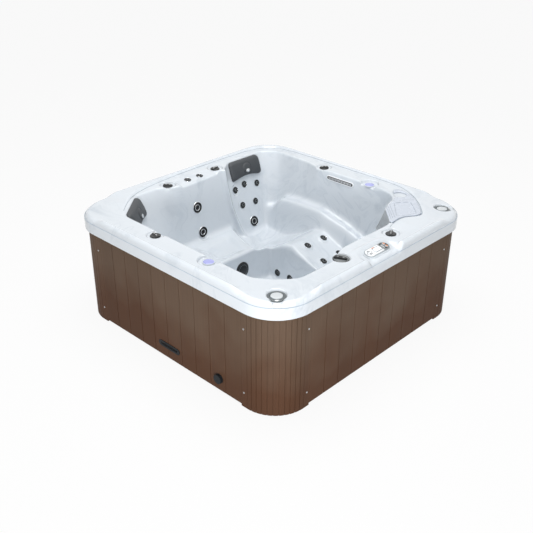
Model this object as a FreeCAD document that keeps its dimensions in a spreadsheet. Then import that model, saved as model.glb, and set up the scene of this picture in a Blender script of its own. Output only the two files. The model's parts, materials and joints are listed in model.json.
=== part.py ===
import FreeCAD, Part
import math
import os
import re
import Sketcher
from FreeCAD import Placement, Rotation, Vector

# Hot tub with a moulded acrylic shell, a lounger, seats, a filter corner and a plank cabinet.
# Frame: millimetres, +Z up, origin at the centre of the base on the ground.
# The equipment side with the vent and the drain faces -Y, the control panel side faces +X.

doc = FreeCAD.newDocument("HotTub")
sheet = doc.addObject("Spreadsheet::Sheet", "Sizes")

# Driving dimensions, all lengths in millimetres unless the name says otherwise.
# Those written as formulas follow another size.
SIZES = {
    # cabinet
    "cabinet_half": 1025,
    "corner_radius": 254,
    "board_thick": 15,
    "board_base": 15,
    "board_count": 10,
    "board_groove": 5,
    "board_groove_depth": 3,
    "strip_width": 50,
    "strip_gap": 1,
    "flute_count": 11,
    "flute_width": 5,
    "flute_depth": 4,
    "screw_head_radius": 6,
    "screw_head": 3,
    "screw_shank_radius": 2.5,
    "screw_length": 38,
    "screw_hole_radius": 3,
    "screw_low": 114,
    "screw_high": 590,
    "seat_gap": 0.3,
    "overrun": 20,
    # base pan and timber frame
    "pan_wall": 8,
    "pan_height": 60,
    "pan_corner_radius": 230,
    "timber_thick": 45,
    "timber_width": 70,
    "post_shift": 340,
    "rail_thick": 20,
    "bearer_near": 195,
    "bearer_far": 650,
    # rim of the shell
    "lip_half": 1048,
    "lip_corner_radius": 277,
    "skirt_step": 4,
    "bolster_round": 42,
    "bolster_inner": 970,
    "ledge_corner_radius": 200,
    "ledge_height": 837,
    "rim_rise": 21,
    "rim_top": "=ledge_height + rim_rise",
    "skirt_drop": 37,
    "skirt_top": "=ledge_height - skirt_drop",
    "lip_drop": 112,
    "lip_bottom": "=ledge_height - lip_drop",
    "lip_gap": 2,
    "cabinet_top": "=lip_bottom - lip_gap",
    "rail_drop": 102,
    "rail_height": 55,
    "rail_low": "=ledge_height - rail_drop",
    "rail_top": "=rail_low + rail_height",
    "rim_sheet": 12,
    "shell_wall": 9,
    "corner_scoop": 262,
    "corner_scoop_place": 905,
    "corner_rise": 9,
    "corner_slope_inner": "=ledge_height + corner_rise",
    "corner_drop": 24,
    "corner_slope_outer": "=ledge_height - corner_drop",
    # basin
    "basin_half": 900,
    "basin_rise": 13,
    "basin_top": "=ledge_height + basin_rise",
    "basin_low": 340,
    "basin_corner": 70,
    "basin_root": 120,
    "basin_foot": 130,
    "footwell_floor": 60,
    "footwell_corner": 60,
    "arm_line": 712,
    "arm_round": 90,
    "lounge_round": 130,
    "lounge_corner": 60,
    "dish_depth": 32,
    "dish_corner": 90,
    "shelf_drop": 20,
    "shelf_width": 130,
    "shelf_outer": 925,
    "shelf_length": 400,
    "shelf_place": 20,
    # filter corner
    "weir_distance": 858,
    "well_back": 1040,
    "well_left": 100,
    "well_right": 172,
    "well_floor": 560,
    "well_corner": 30,
    "lid_gap": 3,
    "lid_corner": 35,
    "lid_lip": 9,
    "weir_foot": 612,
    "weir_lean": 40,
    "weir_thick": 8,
    "weir_slot": 9,
    "weir_slot_count": 11,
    "lid_dimple_radius": 52,
    "lid_dimple_depth": 4,
    "cartridge_radius": 75,
    "cartridge_height": 220,
    "cartridge_pleat_depth": 14,
    "cartridge_pleat_count": 16,
    "cartridge_bore": 24,
    "cartridge_cap": 14,
    "cartridge_handle": 16,
    "bucket_radius": 88,
    "bucket_wall": 4,
    "bucket_depth": 60,
    "bucket_neck": 30,
    "bucket_collar": 45,
    # jets
    "small_jet_radius": 30,
    "small_jet_stem": 17,
    "large_jet_radius": 48,
    "large_jet_stem": 28,
    "jet_face_thick": 6,
    "jet_face_bevel": 3,
    "jet_stem_length": 24,
    "jet_port_radius": 7,
    "jet_clearance": 1.2,
    "jet_body_wall": 4,
    "jet_body_length": 62,
    "jet_nut": 9,
    "jet_nut_thick": 12,
    "jet_hole_clearance": 0.5,
    "face_gap": 0.4,
    # knobs, lights and speakers on the ledge
    "cup_radius": 62,
    "cup_depth": 13,
    "cup_wall": 8,
    "knob_radius": 35,
    "knob_height": 17,
    "knob_skirt": 5,
    "knob_blade": 9,
    "knob_stem": 9,
    "knob_stem_length": 22,
    "handle_radius": 49,
    "handle_height": 22,
    "handle_blade": 15,
    "handle_stem": 14,
    "valve_radius": 24,
    "valve_length": 85,
    "valve_wall": 5,
    "light_cup_radius": 72,
    "light_cup_depth": 20,
    "lens_radius": 42,
    "lens_thick": 9,
    "lens_crown": 3,
    "speaker_cup_radius": 61,
    "speaker_cup_depth": 20,
    "speaker_place": 888,
    "speaker_radius": 42,
    "speaker_height": 84,
    "speaker_crown": 8,
    "speaker_gap": 1.5,
    "speaker_wall": 5,
    # control panel
    "bay_length": 330,
    "bay_place": -8,
    "bay_inner": 872,
    "bay_lift": 15,
    "bay_rise": "=ledge_height + bay_lift",
    "bay_drop": 33,
    "bay_fall": "=ledge_height - bay_drop",
    "panel_length": 252,
    "panel_width": 96,
    "panel_thick": 12,
    "panel_sink": 6,
    "window_length": 92,
    "window_width": 46,
    "window_thick": 3,
    "button_radius": 9,
    "button_height": 8,
    "button_spread": 26,
    "button_place": 86,
    "button_travel": 1.5,
    "button_peg_radius": 3,
    "button_peg_length": 4,
    "button_peg_floor": 1,
    # waterfall
    "spout_length": 266,
    "spout_height": 30,
    "spout_place": -50,
    "spout_drop": 51,
    "spout_level": "=ledge_height - spout_drop",
    "spout_depth": 60,
    "spout_flange": 6,
    "spout_lip": 3,
    "spout_slot": 12,
    # suction, vent and drain
    "suction_radius": 54,
    "suction_level": 205,
    "suction_thick": 16,
    "suction_neck": 26,
    "suction_reach": 45,
    "suction_slot": 5,
    "suction_slot_count": 7,
    "vent_length": 220,
    "vent_height": 46,
    "vent_place": 11,
    "vent_level": 112,
    "vent_flange": 4,
    "vent_rim": 9,
    "vent_bar": 4,
    "vent_bar_count": 3,
    "drain_inset": 508,
    "drain_place": "=cabinet_half - drain_inset",
    "drain_level": 108,
    "drain_radius": 24,
    "drain_bore": 17,
    "drain_cap_radius": 34,
    "drain_cap_depth": 22,
    "drain_reach": 90,
    "drain_flange": 32,
    "drain_hole_gap": 3,
    # pillows
    "pillow_width": 320,
    "pillow_height": 165,
    "pillow_thick": 48,
    "pillow_round": 22,
    "pillow_corner": 30,
    "pillow_hollow": 34,
    "pillow_boss": 48,
    "pillow_crown": 7,
    "left_pillow_shift": 60,
    "left_pillow_lift": 5.5,
    # equipment
    "pump_place": -120,
    "pump_line": -650,
    "pump_axis": 150,
    "wet_radius": 88,
    "wet_length": 92,
    "wet_wall": 7,
    "port_radius": 28,
    "port_wall": 4,
    "port_length": 40,
    "motor_radius": 78,
    "motor_length": 250,
    "motor_foot": 120,
    "impeller_radius": 60,
    "impeller_blade_count": 6,
    "impeller_blade": 6,
    "impeller_width": 30,
    "shaft_radius": 8,
    "shaft_gap": 0.2,
    "heater_radius": 32,
    "heater_length": 380,
    "heater_clip": 10,
    "box_length": 330,
    "box_width": 120,
    "box_height": 250,
    "box_place": 160,
    "box_line": -860,
    "pipe_radius": 25,
    "pipe_bend": 70,
    "short_bend": 40,
    "pipe_side": 80,
    "manifold_place": 810,
    "manifold_start": -120,
    "manifold_length": 360,
    "manifold_port_count": 6,
    "hose_radius": 17,
    "hose_bend": 60,
    "drain_outlet": 240,
}

for row, (alias, number) in enumerate(SIZES.items(), start=1):
    sheet.set("A%d" % row, alias)
    sheet.set("B%d" % row, str(number))
    sheet.setAlias("B%d" % row, alias)
doc.recompute()


# Outlines of the basin as shares of basin_half, counter-clockwise seen from above.
# The first is the opening at basin_top, the second the same walls at basin_low.
opening_shares = [
    (-0.733, -0.931), (0.711, -0.944), (0.842, -0.854), (0.952, -0.717), (0.952, -0.367),
    (0.864, -0.167), (0.864, 0.478), (0.606, 0.739), (0.478, 0.922), (0.367, 0.964),
    (-0.321, 0.966), (-0.5, 1.017), (-0.886, 1.031), (-1.028, 0.922), (-1.031, 0.478),
    (-0.912, 0.322), (-0.889, -0.256), (-0.983, -0.378), (-0.992, -0.637),
]
root_shares = [
    (-0.556, -0.767), (0.622, -0.811), (0.722, -0.744), (0.828, -0.622), (0.829, -0.367),
    (0.817, -0.167), (0.816, 0.444), (0.578, 0.694), (0.478, 0.856), (0.367, 0.888),
    (-0.321, 0.889), (-0.478, 0.908), (-0.722, 0.906), (-0.833, 0.811), (-0.835, 0.378),
    (-0.828, 0.322), (-0.817, -0.256), (-0.828, -0.367), (-0.767, -0.533),
]
footwell_top_shares = [
    (-0.355, -0.267), (-0.244, -0.378), (0.333, -0.378), (0.456, -0.256),
    (0.456, 0.222), (0.389, 0.322), (-0.3, 0.322), (-0.355, 0.167),
]
footwell_floor_shares = [
    (-0.322, -0.244), (-0.222, -0.344), (0.311, -0.344), (0.422, -0.233),
    (0.422, 0.2), (0.367, 0.294), (-0.285, 0.294), (-0.322, 0.156),
]
# Plan of the lounger together with its arm ledge
lounge_plan_shares = [
    (-1.2, 0.6), (-0.861, 0.367), (-0.667, 0.291), (-0.367, 0.183), (-0.333, 0.31),
    (1.2, 0.315), (1.2, 1.2), (-1.2, 1.2),
]
# Side view of the lounger from back to foot, as (x, z) shares
lounge_side_shares = [
    (-1.2, 0.5), (-0.861, 0.27), (-0.75, 0.25), (-0.52, 0.245), (-0.315, 0.33),
    (-0.175, 0.42), (-0.07, 0.44), (0.217, 0.32), (0.6, 0.17), (1.2, 0.16),
]
# Side view of the arm ledge beside the lounger, as (x, z) shares
arm_side_shares = [
    (-1.2, 0.43), (-0.77, 0.44), (-0.68, 0.556), (-0.42, 0.578), (-0.18, 0.583),
    (0.11, 0.516), (0.47, 0.39), (1.2, 0.3),
]
# Seat dishes as plan outlines: side seat, left corner seat, bench and front corner seat
dish_shares = {
    "side": [(-0.76, -0.22), (-0.4, -0.2), (-0.4, 0.1), (-0.74, 0.22)],
    "left": [(-0.68, -0.48), (-0.5, -0.67), (-0.28, -0.5), (-0.4, -0.3)],
    "bench": [(-0.2, -0.74), (0.34, -0.74), (0.3, -0.44), (-0.18, -0.44)],
    "front": [(0.5, -0.7), (0.74, -0.56), (0.74, -0.1), (0.52, -0.1), (0.47, -0.4)],
}
# Filter lid seen from above
lid_shares = [
    (0.845, 0.475), (0.9, 0.56), (0.96, 0.73), (0.875, 0.87), (0.675, 1.01), (0.47, 1.06),
    (0.44, 0.98), (0.52, 0.85), (0.6, 0.735),
]


def size(alias):
    """Value of one driving dimension, read from the sheet."""
    return float(getattr(sheet, alias))


def formula(text):
    """Expression over the sheet, written with the plain names of the sizes."""
    return re.sub(r"[a-z_]+", lambda word: "Sizes." + word[0] if word[0] in SIZES else word[0], text)


def bind(item, **formulas):
    """Tie properties of a document object to the sheet."""
    for name, text in formulas.items():
        item.setExpression(name, formula(text))
    return item


def locate(item, x="0", y="0", z="0", turn=None):
    """Place an object, its position bound to the sheet."""
    if turn is not None:
        item.Placement = Placement(Vector(0, 0, 0), turn)
    for axis, text in (("x", x), ("y", y), ("z", z)):
        item.setExpression(".Placement.Base." + axis, formula(text))
    return item


def pointed(way):
    """Rotation that turns +Z to the given direction."""
    return Rotation(Vector(0, 0, 1), Vector(*way))


def box(name, length, width, height, x="0", y="0", z="0", turn=None):
    """Box with bound sides, its low corner at the given place."""
    item = bind(doc.addObject("Part::Box", name), Length=length, Width=width, Height=height)
    return locate(item, x, y, z, turn)


def cylinder(name, radius, height, x="0", y="0", z="0", turn=None):
    """Cylinder with bound sizes, its base centre at the given place."""
    item = bind(doc.addObject("Part::Cylinder", name), Radius=radius, Height=height)
    return locate(item, x, y, z, turn)


def cone(name, low, high, height, x="0", y="0", z="0", turn=None):
    """Cone frustum with bound sizes."""
    item = bind(doc.addObject("Part::Cone", name), Radius1=low, Radius2=high, Height=height)
    return locate(item, x, y, z, turn)


def prism(name, sides, radius, height, x="0", y="0", z="0", turn=None):
    """Upright prism over a regular polygon, as knobs and bezels with grip flats have."""
    item = bind(doc.addObject("Part::Prism", name), Circumradius=radius, Height=height)
    item.Polygon = sides
    return locate(item, x, y, z, turn)


def fuse(name, *items):
    """Fuse of document objects."""
    result = doc.addObject("Part::MultiFuse", name)
    result.Shapes = list(items)
    return result


def cut(name, base, *tools):
    """Base less one tool or a fuse of several."""
    result = doc.addObject("Part::Cut", name)
    result.Base = base
    result.Tool = tools[0] if len(tools) == 1 else fuse(name + "_tools", *tools)
    return result


def common(name, *items):
    """Common of document objects."""
    result = doc.addObject("Part::MultiCommon", name)
    result.Shapes = list(items)
    return result


def group(name, items):
    """Several separate solids kept as one sub-part."""
    result = doc.addObject("Part::Compound", name)
    result.Links = list(items)
    return result


def solid(name, shape, placement=None):
    """Sub-part whose shape is worked out here."""
    item = doc.addObject("Part::Feature", name)
    item.Shape = shape
    if placement is not None:
        item.Placement = placement
    return item


def new_body(name, x="0", y="0", z="0", turn=None):
    """PartDesign body with a bound place."""
    return locate(doc.addObject("PartDesign::Body", name), x, y, z, turn)


def plane_of(body, role):
    """Origin plane or axis of a body."""
    return [feature for feature in body.Origin.OriginFeatures if feature.Role == role][0]


def new_sketch(body, name, role, lift="0"):
    """Sketch on one of the body's own planes, lifted along its normal."""
    sketch = body.newObject("Sketcher::SketchObject", name)
    sketch.AttachmentSupport = [(plane_of(body, role), "")]
    sketch.MapMode = "FlatFace"
    sketch.setExpression(".AttachmentOffset.Base.z", formula(lift))
    return sketch


def sketch_circle(sketch, radius, guess=10):
    """Circle with a bound radius at the origin."""
    index = sketch.addGeometry(Part.Circle(Vector(0, 0, 0), Vector(0, 0, 1), guess), False)
    sketch.addConstraint(Sketcher.Constraint("Coincident", index, 3, -1, 1))
    place = sketch.addConstraint(Sketcher.Constraint("Radius", index, guess))
    sketch.setExpression("Constraints[%d]" % place, formula(radius))


def sketch_box(sketch, left, low, right, high, guess=(-10, -10, 10, 10)):
    """Rectangle between bound distances from the sketch's origin."""
    corners = [Vector(guess[0], guess[1], 0), Vector(guess[2], guess[1], 0),
               Vector(guess[2], guess[3], 0), Vector(guess[0], guess[3], 0)]
    lines = []
    for number in range(4):
        side = Part.LineSegment(corners[number], corners[(number + 1) % 4])
        lines.append(sketch.addGeometry(side, False))
    for number in range(4):
        sketch.addConstraint(Sketcher.Constraint("Coincident", lines[number], 2, lines[(number + 1) % 4], 1))
        way = "Horizontal" if number % 2 == 0 else "Vertical"
        sketch.addConstraint(Sketcher.Constraint(way, lines[number]))
    for kind, line, text, start in (("DistanceX", 0, left, guess[0]), ("DistanceY", 0, low, guess[1]),
                                    ("DistanceX", 2, right, guess[2]), ("DistanceY", 2, high, guess[3])):
        place = sketch.addConstraint(Sketcher.Constraint(kind, -1, 1, lines[line], 1, start))
        sketch.setExpression("Constraints[%d]" % place, formula(text))


def pad(body, name, sketch, length, backward=False):
    """Pad of a sketch by a bound length."""
    feature = body.newObject("PartDesign::Pad", name)
    feature.Profile = sketch
    feature.Reversed = backward
    return bind(feature, Length=length)


def pocket(body, name, sketch, length, backward=False):
    """Pocket of a sketch by a bound length."""
    feature = body.newObject("PartDesign::Pocket", name)
    feature.Profile = sketch
    feature.Reversed = backward
    return bind(feature, Length=length)


def shaded(shares, scale):
    """Points of a table of shares at their real size."""
    return [(u * scale, v * scale) for u, v in shares]


def grown(points, grow):
    """Corners of a counter-clockwise outline moved outward by grow."""
    result = []
    count = len(points)
    for index, (x, y) in enumerate(points):
        before = points[index - 1]
        after = points[(index + 1) % count]
        first = Vector(x - before[0], y - before[1], 0).normalize()
        second = Vector(after[0] - x, after[1] - y, 0).normalize()
        normal_one = Vector(first.y, -first.x, 0)
        normal_two = Vector(second.y, -second.x, 0)
        push = (normal_one + normal_two) * (grow / (1 + normal_one.dot(normal_two)))
        result.append((x + push.x, y + push.y))
    return result


def rounded_wire(points, radius):
    """Closed wire through an outline, each corner an arc as large as its sides allow."""
    room_share = 0.45
    count = len(points)
    arcs = []
    for index in range(count):
        here = Vector(*points[index], 0)
        back = Vector(*points[index - 1], 0) - here
        ahead = Vector(*points[(index + 1) % count], 0) - here
        half_turn = (math.pi - back.getAngle(ahead)) / 2
        reach = min(radius * math.tan(half_turn), room_share * min(back.Length, ahead.Length))
        back.normalize()
        ahead.normalize()
        arc_radius = reach / math.tan(half_turn)
        inset = arc_radius / math.cos(half_turn) - arc_radius
        middle = here + (back + ahead).normalize() * inset
        arcs.append((here + back * reach, middle, here + ahead * reach))
    edges = []
    for index, (start, middle, finish) in enumerate(arcs):
        edges.append(Part.LineSegment(arcs[index - 1][2], start).toShape())
        edges.append(Part.Arc(start, middle, finish).toShape())
    return Part.Wire(edges)


def plate(points, radius, low, high):
    """Upright solid over a rounded outline."""
    face = Part.Face(rounded_wire(points, radius))
    face.translate(Vector(0, 0, low))
    return face.extrude(Vector(0, 0, high - low))


def funnel(low_points, low, high_points, high, radius):
    """Solid whose walls lean from one rounded outline to another with as many corners."""
    low_wire = rounded_wire(low_points, radius)
    low_wire.translate(Vector(0, 0, low))
    high_wire = rounded_wire(high_points, radius)
    high_wire.translate(Vector(0, 0, high))
    return Part.makeLoft([low_wire, high_wire], True, True)


def side_slab(points, radius, near, far):
    """Solid over an outline drawn in side view as (x, z), from y = near to y = far."""
    face = Part.Face(rounded_wire(points, radius))
    face.rotate(Vector(0, 0, 0), Vector(1, 0, 0), 90)
    face.translate(Vector(0, near, 0))
    return face.extrude(Vector(0, far - near, 0))


def square(half):
    """Corners of a centred square."""
    return [(-half, -half), (half, -half), (half, half), (-half, half)]


def above(side_points, radius, near, far, top):
    """Everything above a side profile, up to top."""
    left, right = side_points[0][0], side_points[-1][0]
    return side_slab(side_points + [(right, top), (left, top)], radius, near, far)


# Moulded basin

def side_profile(shares, grow):
    """Side profile at its real size, lowered by the thickness of the sheet."""
    return [(x, z - grow) for x, z in shaded(shares, size("basin_half"))]


def floors(grow):
    """Space above the benches, the lounger, its arm ledge and the seat dishes."""
    half = size("basin_half")
    top = size("basin_top")
    low = size("basin_low") - grow
    wide = 2 * half
    plan = shaded(lounge_plan_shares, half)
    seats = Part.makeBox(2 * wide, 2 * wide, top, Vector(-wide, -wide, low))
    seats = seats.cut(plate(grown(plan, -grow), size("lounge_corner"), 0, 2 * top))
    lounge_plan = plate(grown(plan, grow), size("lounge_corner"), 0, top)
    lounge = above(side_profile(lounge_side_shares, grow), size("lounge_round"),
                   0, size("arm_line") + grow, top).common(lounge_plan)
    arm = above(side_profile(arm_side_shares, grow), size("arm_round"),
                size("arm_line") - grow, wide, top)
    spaces = [lounge, arm]
    slope = size("dish_depth")
    for outline in dish_shares.values():
        rim = grown(shaded(outline, half), grow)
        spaces.append(funnel(grown(rim, -slope), low - slope, rim, low + size("seat_gap"),
                             size("dish_corner")))
    return seats.multiFuse(spaces)


def shelf_space(grow):
    """Slanted shelf for the neck jets, cut into the ledge of the side seat."""
    outer = size("shelf_outer")
    inner = outer - size("shelf_width")
    level = size("ledge_height")
    side = [(-outer, level), (-inner, level - size("shelf_drop")), (-inner + size("shelf_width"), level),
            (-inner, level + size("basin_corner")), (-outer, level + size("basin_corner"))]
    near = size("shelf_place") - size("shelf_length") / 2
    far = size("shelf_place") + size("shelf_length") / 2
    return side_slab(grown(side, grow), size("seat_gap"), near - grow, far + grow)


def corner_ways():
    """Outward and sideways unit directions of the filter corner."""
    return Vector(1, 1, 0).normalize(), Vector(-1, 1, 0).normalize()


def well_outline():
    """Plan of the filter well, its near side open to the basin."""
    out, aside = corner_ways()
    near = size("weir_distance") - 2 * size("shell_wall") - size("weir_lean")
    points = []
    for distance, place in ((near, -size("well_right")), (size("well_back"), -size("well_right")),
                            (size("well_back"), size("well_left")), (near, size("well_left"))):
        spot = out * distance + aside * place
        points.append((spot.x, spot.y))
    return points


def basin_void(grow):
    """Space inside the basin, or the outside of its sheet when grown by the wall."""
    half = size("basin_half")
    top, low, foot = size("basin_top"), size("basin_low"), size("basin_foot")
    opening = shaded(opening_shares, half)
    root = shaded(root_shares, half)
    fall = (low - foot + grow) / (top - low)
    toe = [(rx + (rx - ox) * fall, ry + (ry - oy) * fall) for (ox, oy), (rx, ry) in zip(opening, root)]
    walls = funnel(grown(toe, grow), foot - grow, grown(opening, grow), top, size("basin_corner"))
    seats = walls.common(floors(grow))
    footwell = funnel(grown(shaded(footwell_floor_shares, half), grow), size("footwell_floor") - grow,
                      grown(shaded(footwell_top_shares, half), grow), size("basin_low"),
                      size("footwell_corner"))
    upper_footwell = plate(grown(shaded(footwell_top_shares, half), grow), size("footwell_corner"),
                           size("basin_low"), size("basin_low") + size("basin_root"))
    well = plate(grown(well_outline(), grow), size("well_corner") + grow, size("well_floor") - grow, top)
    return seats.multiFuse([footwell, upper_footwell, well])


def corner_slabs(lower):
    """Sloping corners of the rim, as solids that stand over the slope."""
    slabs = []
    inner = size("corner_scoop_place") * math.sqrt(2) - size("corner_scoop")
    outer = inner + 2 * size("corner_scoop")
    rise = size("corner_slope_inner") - lower
    fall = size("corner_slope_outer") - lower
    top = size("rim_top") + size("overrun")
    side = [(inner, rise), (outer, fall), (outer, top), (inner, top)]
    slab = side_slab(side, size("seat_gap"), -outer, outer)
    slab = slab.common(Part.makeCylinder(size("corner_scoop"), top,
                                         Vector(inner + size("corner_scoop"), 0, 0)))
    for quarter in range(4):
        turned = slab.copy()
        turned.rotate(Vector(0, 0, 0), Vector(0, 0, 1), 45 + 90 * quarter)
        slabs.append(turned)
    return slabs


def bay_block(lower):
    """Sloping bay for the control panel, cut through the bolster."""
    inner = size("bay_inner") - lower
    outer = size("lip_half") + size("overrun")
    top = size("rim_top") + size("overrun")
    side = [(inner, size("bay_rise") - lower), (outer, size("bay_fall") - lower), (outer, top), (inner, top)]
    half = size("bay_length") / 2 + lower
    block = side_slab(side, size("seat_gap"), size("bay_place") - half, size("bay_place") + half)
    plan = [(inner, size("bay_place") - half), (outer, size("bay_place") - half),
            (outer, size("bay_place") + half), (inner, size("bay_place") + half)]
    return block.common(plate(plan, half / 2, 0, top))


# Places on the ledge as (x, y) shares of basin_half
knob_shares = [(-0.986, -0.274), (-0.999, 0.294), (-0.28, -0.979), (-0.301, 1.019), (0.97, 0.301)]
handle_share = (0.959, -0.288)
light_shares = [(0.244, 0.992), (0.313, -0.976)]


def cup_places():
    """Centre, cup radius and cup depth of each round recess on the ledge."""
    half = size("basin_half")
    places = [(u * half, v * half, size("cup_radius"), size("cup_depth")) for u, v in knob_shares]
    places.append((handle_share[0] * half, handle_share[1] * half, size("cup_radius"), size("cup_depth")))
    for u, v in light_shares:
        places.append((u * half, v * half, size("light_cup_radius"), size("light_cup_depth")))
    return places


def speaker_places():
    """Centres of the two pop-up speakers, in the corners at the +X side."""
    place = size("speaker_place")
    return [Vector(place, place, 0), Vector(place, -place, 0)]


def build_shell(void):
    """One sheet: skirt, bolster, ledge and basin, with its recesses and holes."""
    wall = size("shell_wall")
    sheet_under = size("ledge_height") - size("rim_sheet")
    skirt = plate(square(size("lip_half")), size("lip_corner_radius"), size("lip_bottom"), size("skirt_top"))
    step = size("skirt_step")
    bolster = plate(square(size("lip_half") - step), size("lip_corner_radius") - step,
                    size("lip_bottom"), size("rim_top"))
    crest = [edge for edge in bolster.Edges if edge.BoundBox.ZMin > size("rim_top") - step]
    bolster = bolster.makeFillet(size("bolster_round"), crest)
    rim = skirt.fuse(bolster)
    rim = rim.cut(plate(square(size("bolster_inner")), size("ledge_corner_radius"),
                        size("ledge_height"), size("rim_top") + size("overrun")))
    rim = rim.cut(Part.makeCompound(corner_slabs(0)))
    rim = rim.cut(bay_block(0))
    hollow = plate(square(size("lip_half") - wall), size("lip_corner_radius") - wall,
                   size("lip_bottom") - size("overrun"), sheet_under)
    for slab in corner_slabs(size("rim_sheet")):
        hollow = hollow.cut(slab)
    hollow = hollow.cut(bay_block(size("rim_sheet")))
    rim = rim.cut(hollow)
    bosses = []
    recesses = []
    for x, y, radius, depth in cup_places():
        boss_depth = depth + size("cup_wall")
        bosses.append(Part.makeCylinder(radius + size("cup_wall"), boss_depth,
                                        Vector(x, y, size("ledge_height") - boss_depth)))
        recesses.append(Part.makeCylinder(radius, depth + size("overrun"),
                                          Vector(x, y, size("ledge_height") - depth)))
    for spot in speaker_places():
        floor = size("ledge_height") - size("speaker_cup_depth")
        bosses.append(Part.makeCylinder(size("speaker_cup_radius") + size("cup_wall"), size("cup_wall"),
                                        spot + Vector(0, 0, floor - size("cup_wall"))))
        recesses.append(Part.makeCylinder(size("speaker_cup_radius"), size("overrun") * 2,
                                          spot + Vector(0, 0, floor)))
    outer = basin_void(wall)
    wide = 2 * size("lip_half")
    over = size("ledge_height") - size("rim_sheet") / 2
    outer = outer.cut(Part.makeBox(2 * wide, 2 * wide, wide, Vector(-wide, -wide, over)))
    below = Part.makeBox(2 * wide, 2 * wide, size("ledge_height"), Vector(-wide, -wide, 0))
    shell = rim.multiFuse([outer, shelf_space(wall).common(below)])
    shell = shell.cut(void)
    shell = shell.multiFuse(bosses)
    shell = shell.cut(Part.makeCompound(recesses))
    shell = shell.cut(shelf_space(0))
    lid_seat = plate(grown(shaded(lid_shares, size("basin_half")), size("lid_gap")),
                     size("lid_corner"), size("ledge_height") - size("rim_sheet") / 2,
                     size("rim_top") + size("overrun"))
    return shell.cut(lid_seat)


# Jets as shares of basin_half. Wall jets are (y, z) on the -X side, leg and shelf jets (x, y), foot jets (x, z).
large_wall_shares = [(-0.056, 0.682), (-0.028, 0.442), (0.622, 0.34)]
small_wall_shares = [(0.485, 0.668), (0.61, 0.692), (0.769, 0.662), (0.529, 0.517), (0.699, 0.51)]
leg_jet_shares = [(-0.004, 0.474), (-0.004, 0.69), (0.19, 0.466), (0.19, 0.682)]
shelf_jet_shares = [(-0.96, -0.07), (-0.96, 0.07)]
foot_jet_shares = [(-0.2, 0.135), (-0.05, 0.135)]
pillow_share = (0.652, 0.79)
left_pillow_share = 0.8


def wall_spot(start, way):
    """Point where a line from inside the basin meets its wall, and the direction back into the basin."""
    line = Part.makeLine(start, start + way * (2 * size("lip_half")))
    inside = void.common(line)
    first = min(inside.Edges, key=lambda edge: edge.distToShape(Part.Vertex(start))[0])
    point = max((corner.Point for corner in first.Vertexes), key=lambda place: place.distanceToPoint(start))
    mark = Part.Vertex(point)
    face = min(void.Faces, key=lambda side: side.distToShape(mark)[0])
    along, across = face.Surface.parameter(point)
    return point, face.normalAt(along, across) * -1


def wall_frame(point, normal, lift):
    """Placement on a wall: local Z out of the wall, local X level."""
    level = Vector(0, 0, 1).cross(normal)
    if level.Length < 1e-6:
        level = Vector(1, 0, 0)
    level.normalize()
    turn = Rotation(level, normal.cross(level), normal, "ZXY")
    return Placement(point + normal * lift, turn)


def jet_places():
    """Frame on the wall and radius key of every jet, large ones first."""
    half = size("basin_half")
    places = []
    for kind, shares in (("large", large_wall_shares), ("small", small_wall_shares)):
        for u, v in shares:
            point, normal = wall_spot(Vector(0, u * half, v * half), Vector(-1, 0, 0))
            places.append((kind, wall_frame(point, normal, 0)))
    for u, v in leg_jet_shares:
        start = Vector(u * half, v * half, size("lip_bottom"))
        point, normal = wall_spot(start, Vector(0, 0, -1))
        places.append(("small", wall_frame(point, normal, 0)))
    slope = size("shelf_drop") / size("shelf_width")
    for u, v in shelf_jet_shares:
        level = size("ledge_height") - (u * half + size("shelf_outer")) * slope
        normal = Vector(slope, 0, 1).normalize()
        places.append(("small", wall_frame(Vector(u * half, v * half, level), normal, 0)))
    for u, v in foot_jet_shares:
        point, normal = wall_spot(Vector(u * half, 0, v * half), Vector(0, 1, 0))
        places.append(("small", wall_frame(point, normal, 0)))
    return places


def placed(shape, placement):
    """Copy of a shape at a place."""
    result = shape.copy()
    result.Placement = placement
    return result


def post_cut(radius, up, down, placement):
    """Round cutter along a local Z axis, from down below to up above."""
    return placed(Part.makeCylinder(radius, up + down, Vector(0, 0, -down)), placement)


# Templates of the repeated fittings, in their own frames with the wall at Z = 0

def jet_face_template(kind):
    """Rotating face of a jet: grip ring, raised dish and stem, with an offset nozzle port."""
    radius = kind + "_jet_radius"
    ring = prism(kind + "_face_ring", 18, radius, "jet_face_bevel", z="face_gap")
    dish = prism(kind + "_face_dish", 18, radius + " * 0.86", "jet_face_thick", z="face_gap")
    stem = prism(kind + "_face_stem", 12, kind + "_jet_stem", "jet_stem_length + jet_face_bevel + face_gap",
                 z="0 - jet_stem_length")
    whole = fuse(kind + "_face_whole", ring, dish, stem)
    port = prism(kind + "_face_port", 8, "jet_port_radius", "2 * jet_stem_length + overrun",
                 x=kind + "_jet_stem - jet_port_radius - jet_face_bevel", z="0 - jet_stem_length - overrun / 2")
    return cut(kind + "_jet_face", whole, port)


def jet_body_template(kind):
    """Jet body behind the wall: open barrel with its nut and a hose spigot."""
    outer = kind + "_jet_stem + jet_clearance + jet_body_wall"
    barrel = cylinder(kind + "_body_barrel", outer, "jet_body_length - seat_gap", z="0 - jet_body_length")
    nut = cylinder(kind + "_body_nut", outer + " + jet_nut", "jet_nut_thick",
                   z="0 - jet_nut_thick - shell_wall - jet_face_bevel")
    spigot = cylinder(kind + "_body_spigot", "hose_radius * 0.7", "jet_body_length * 0.8",
                      z="0 - jet_body_length + hose_radius",
                      turn=pointed((1, 0, 0)))
    whole = fuse(kind + "_body_whole", barrel, nut, spigot)
    bore = cylinder(kind + "_body_bore", kind + "_jet_stem + jet_clearance",
                    "jet_body_length - jet_body_wall + overrun", z="0 - jet_body_length + jet_body_wall")
    return cut(kind + "_jet_body", whole, bore)


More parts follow.
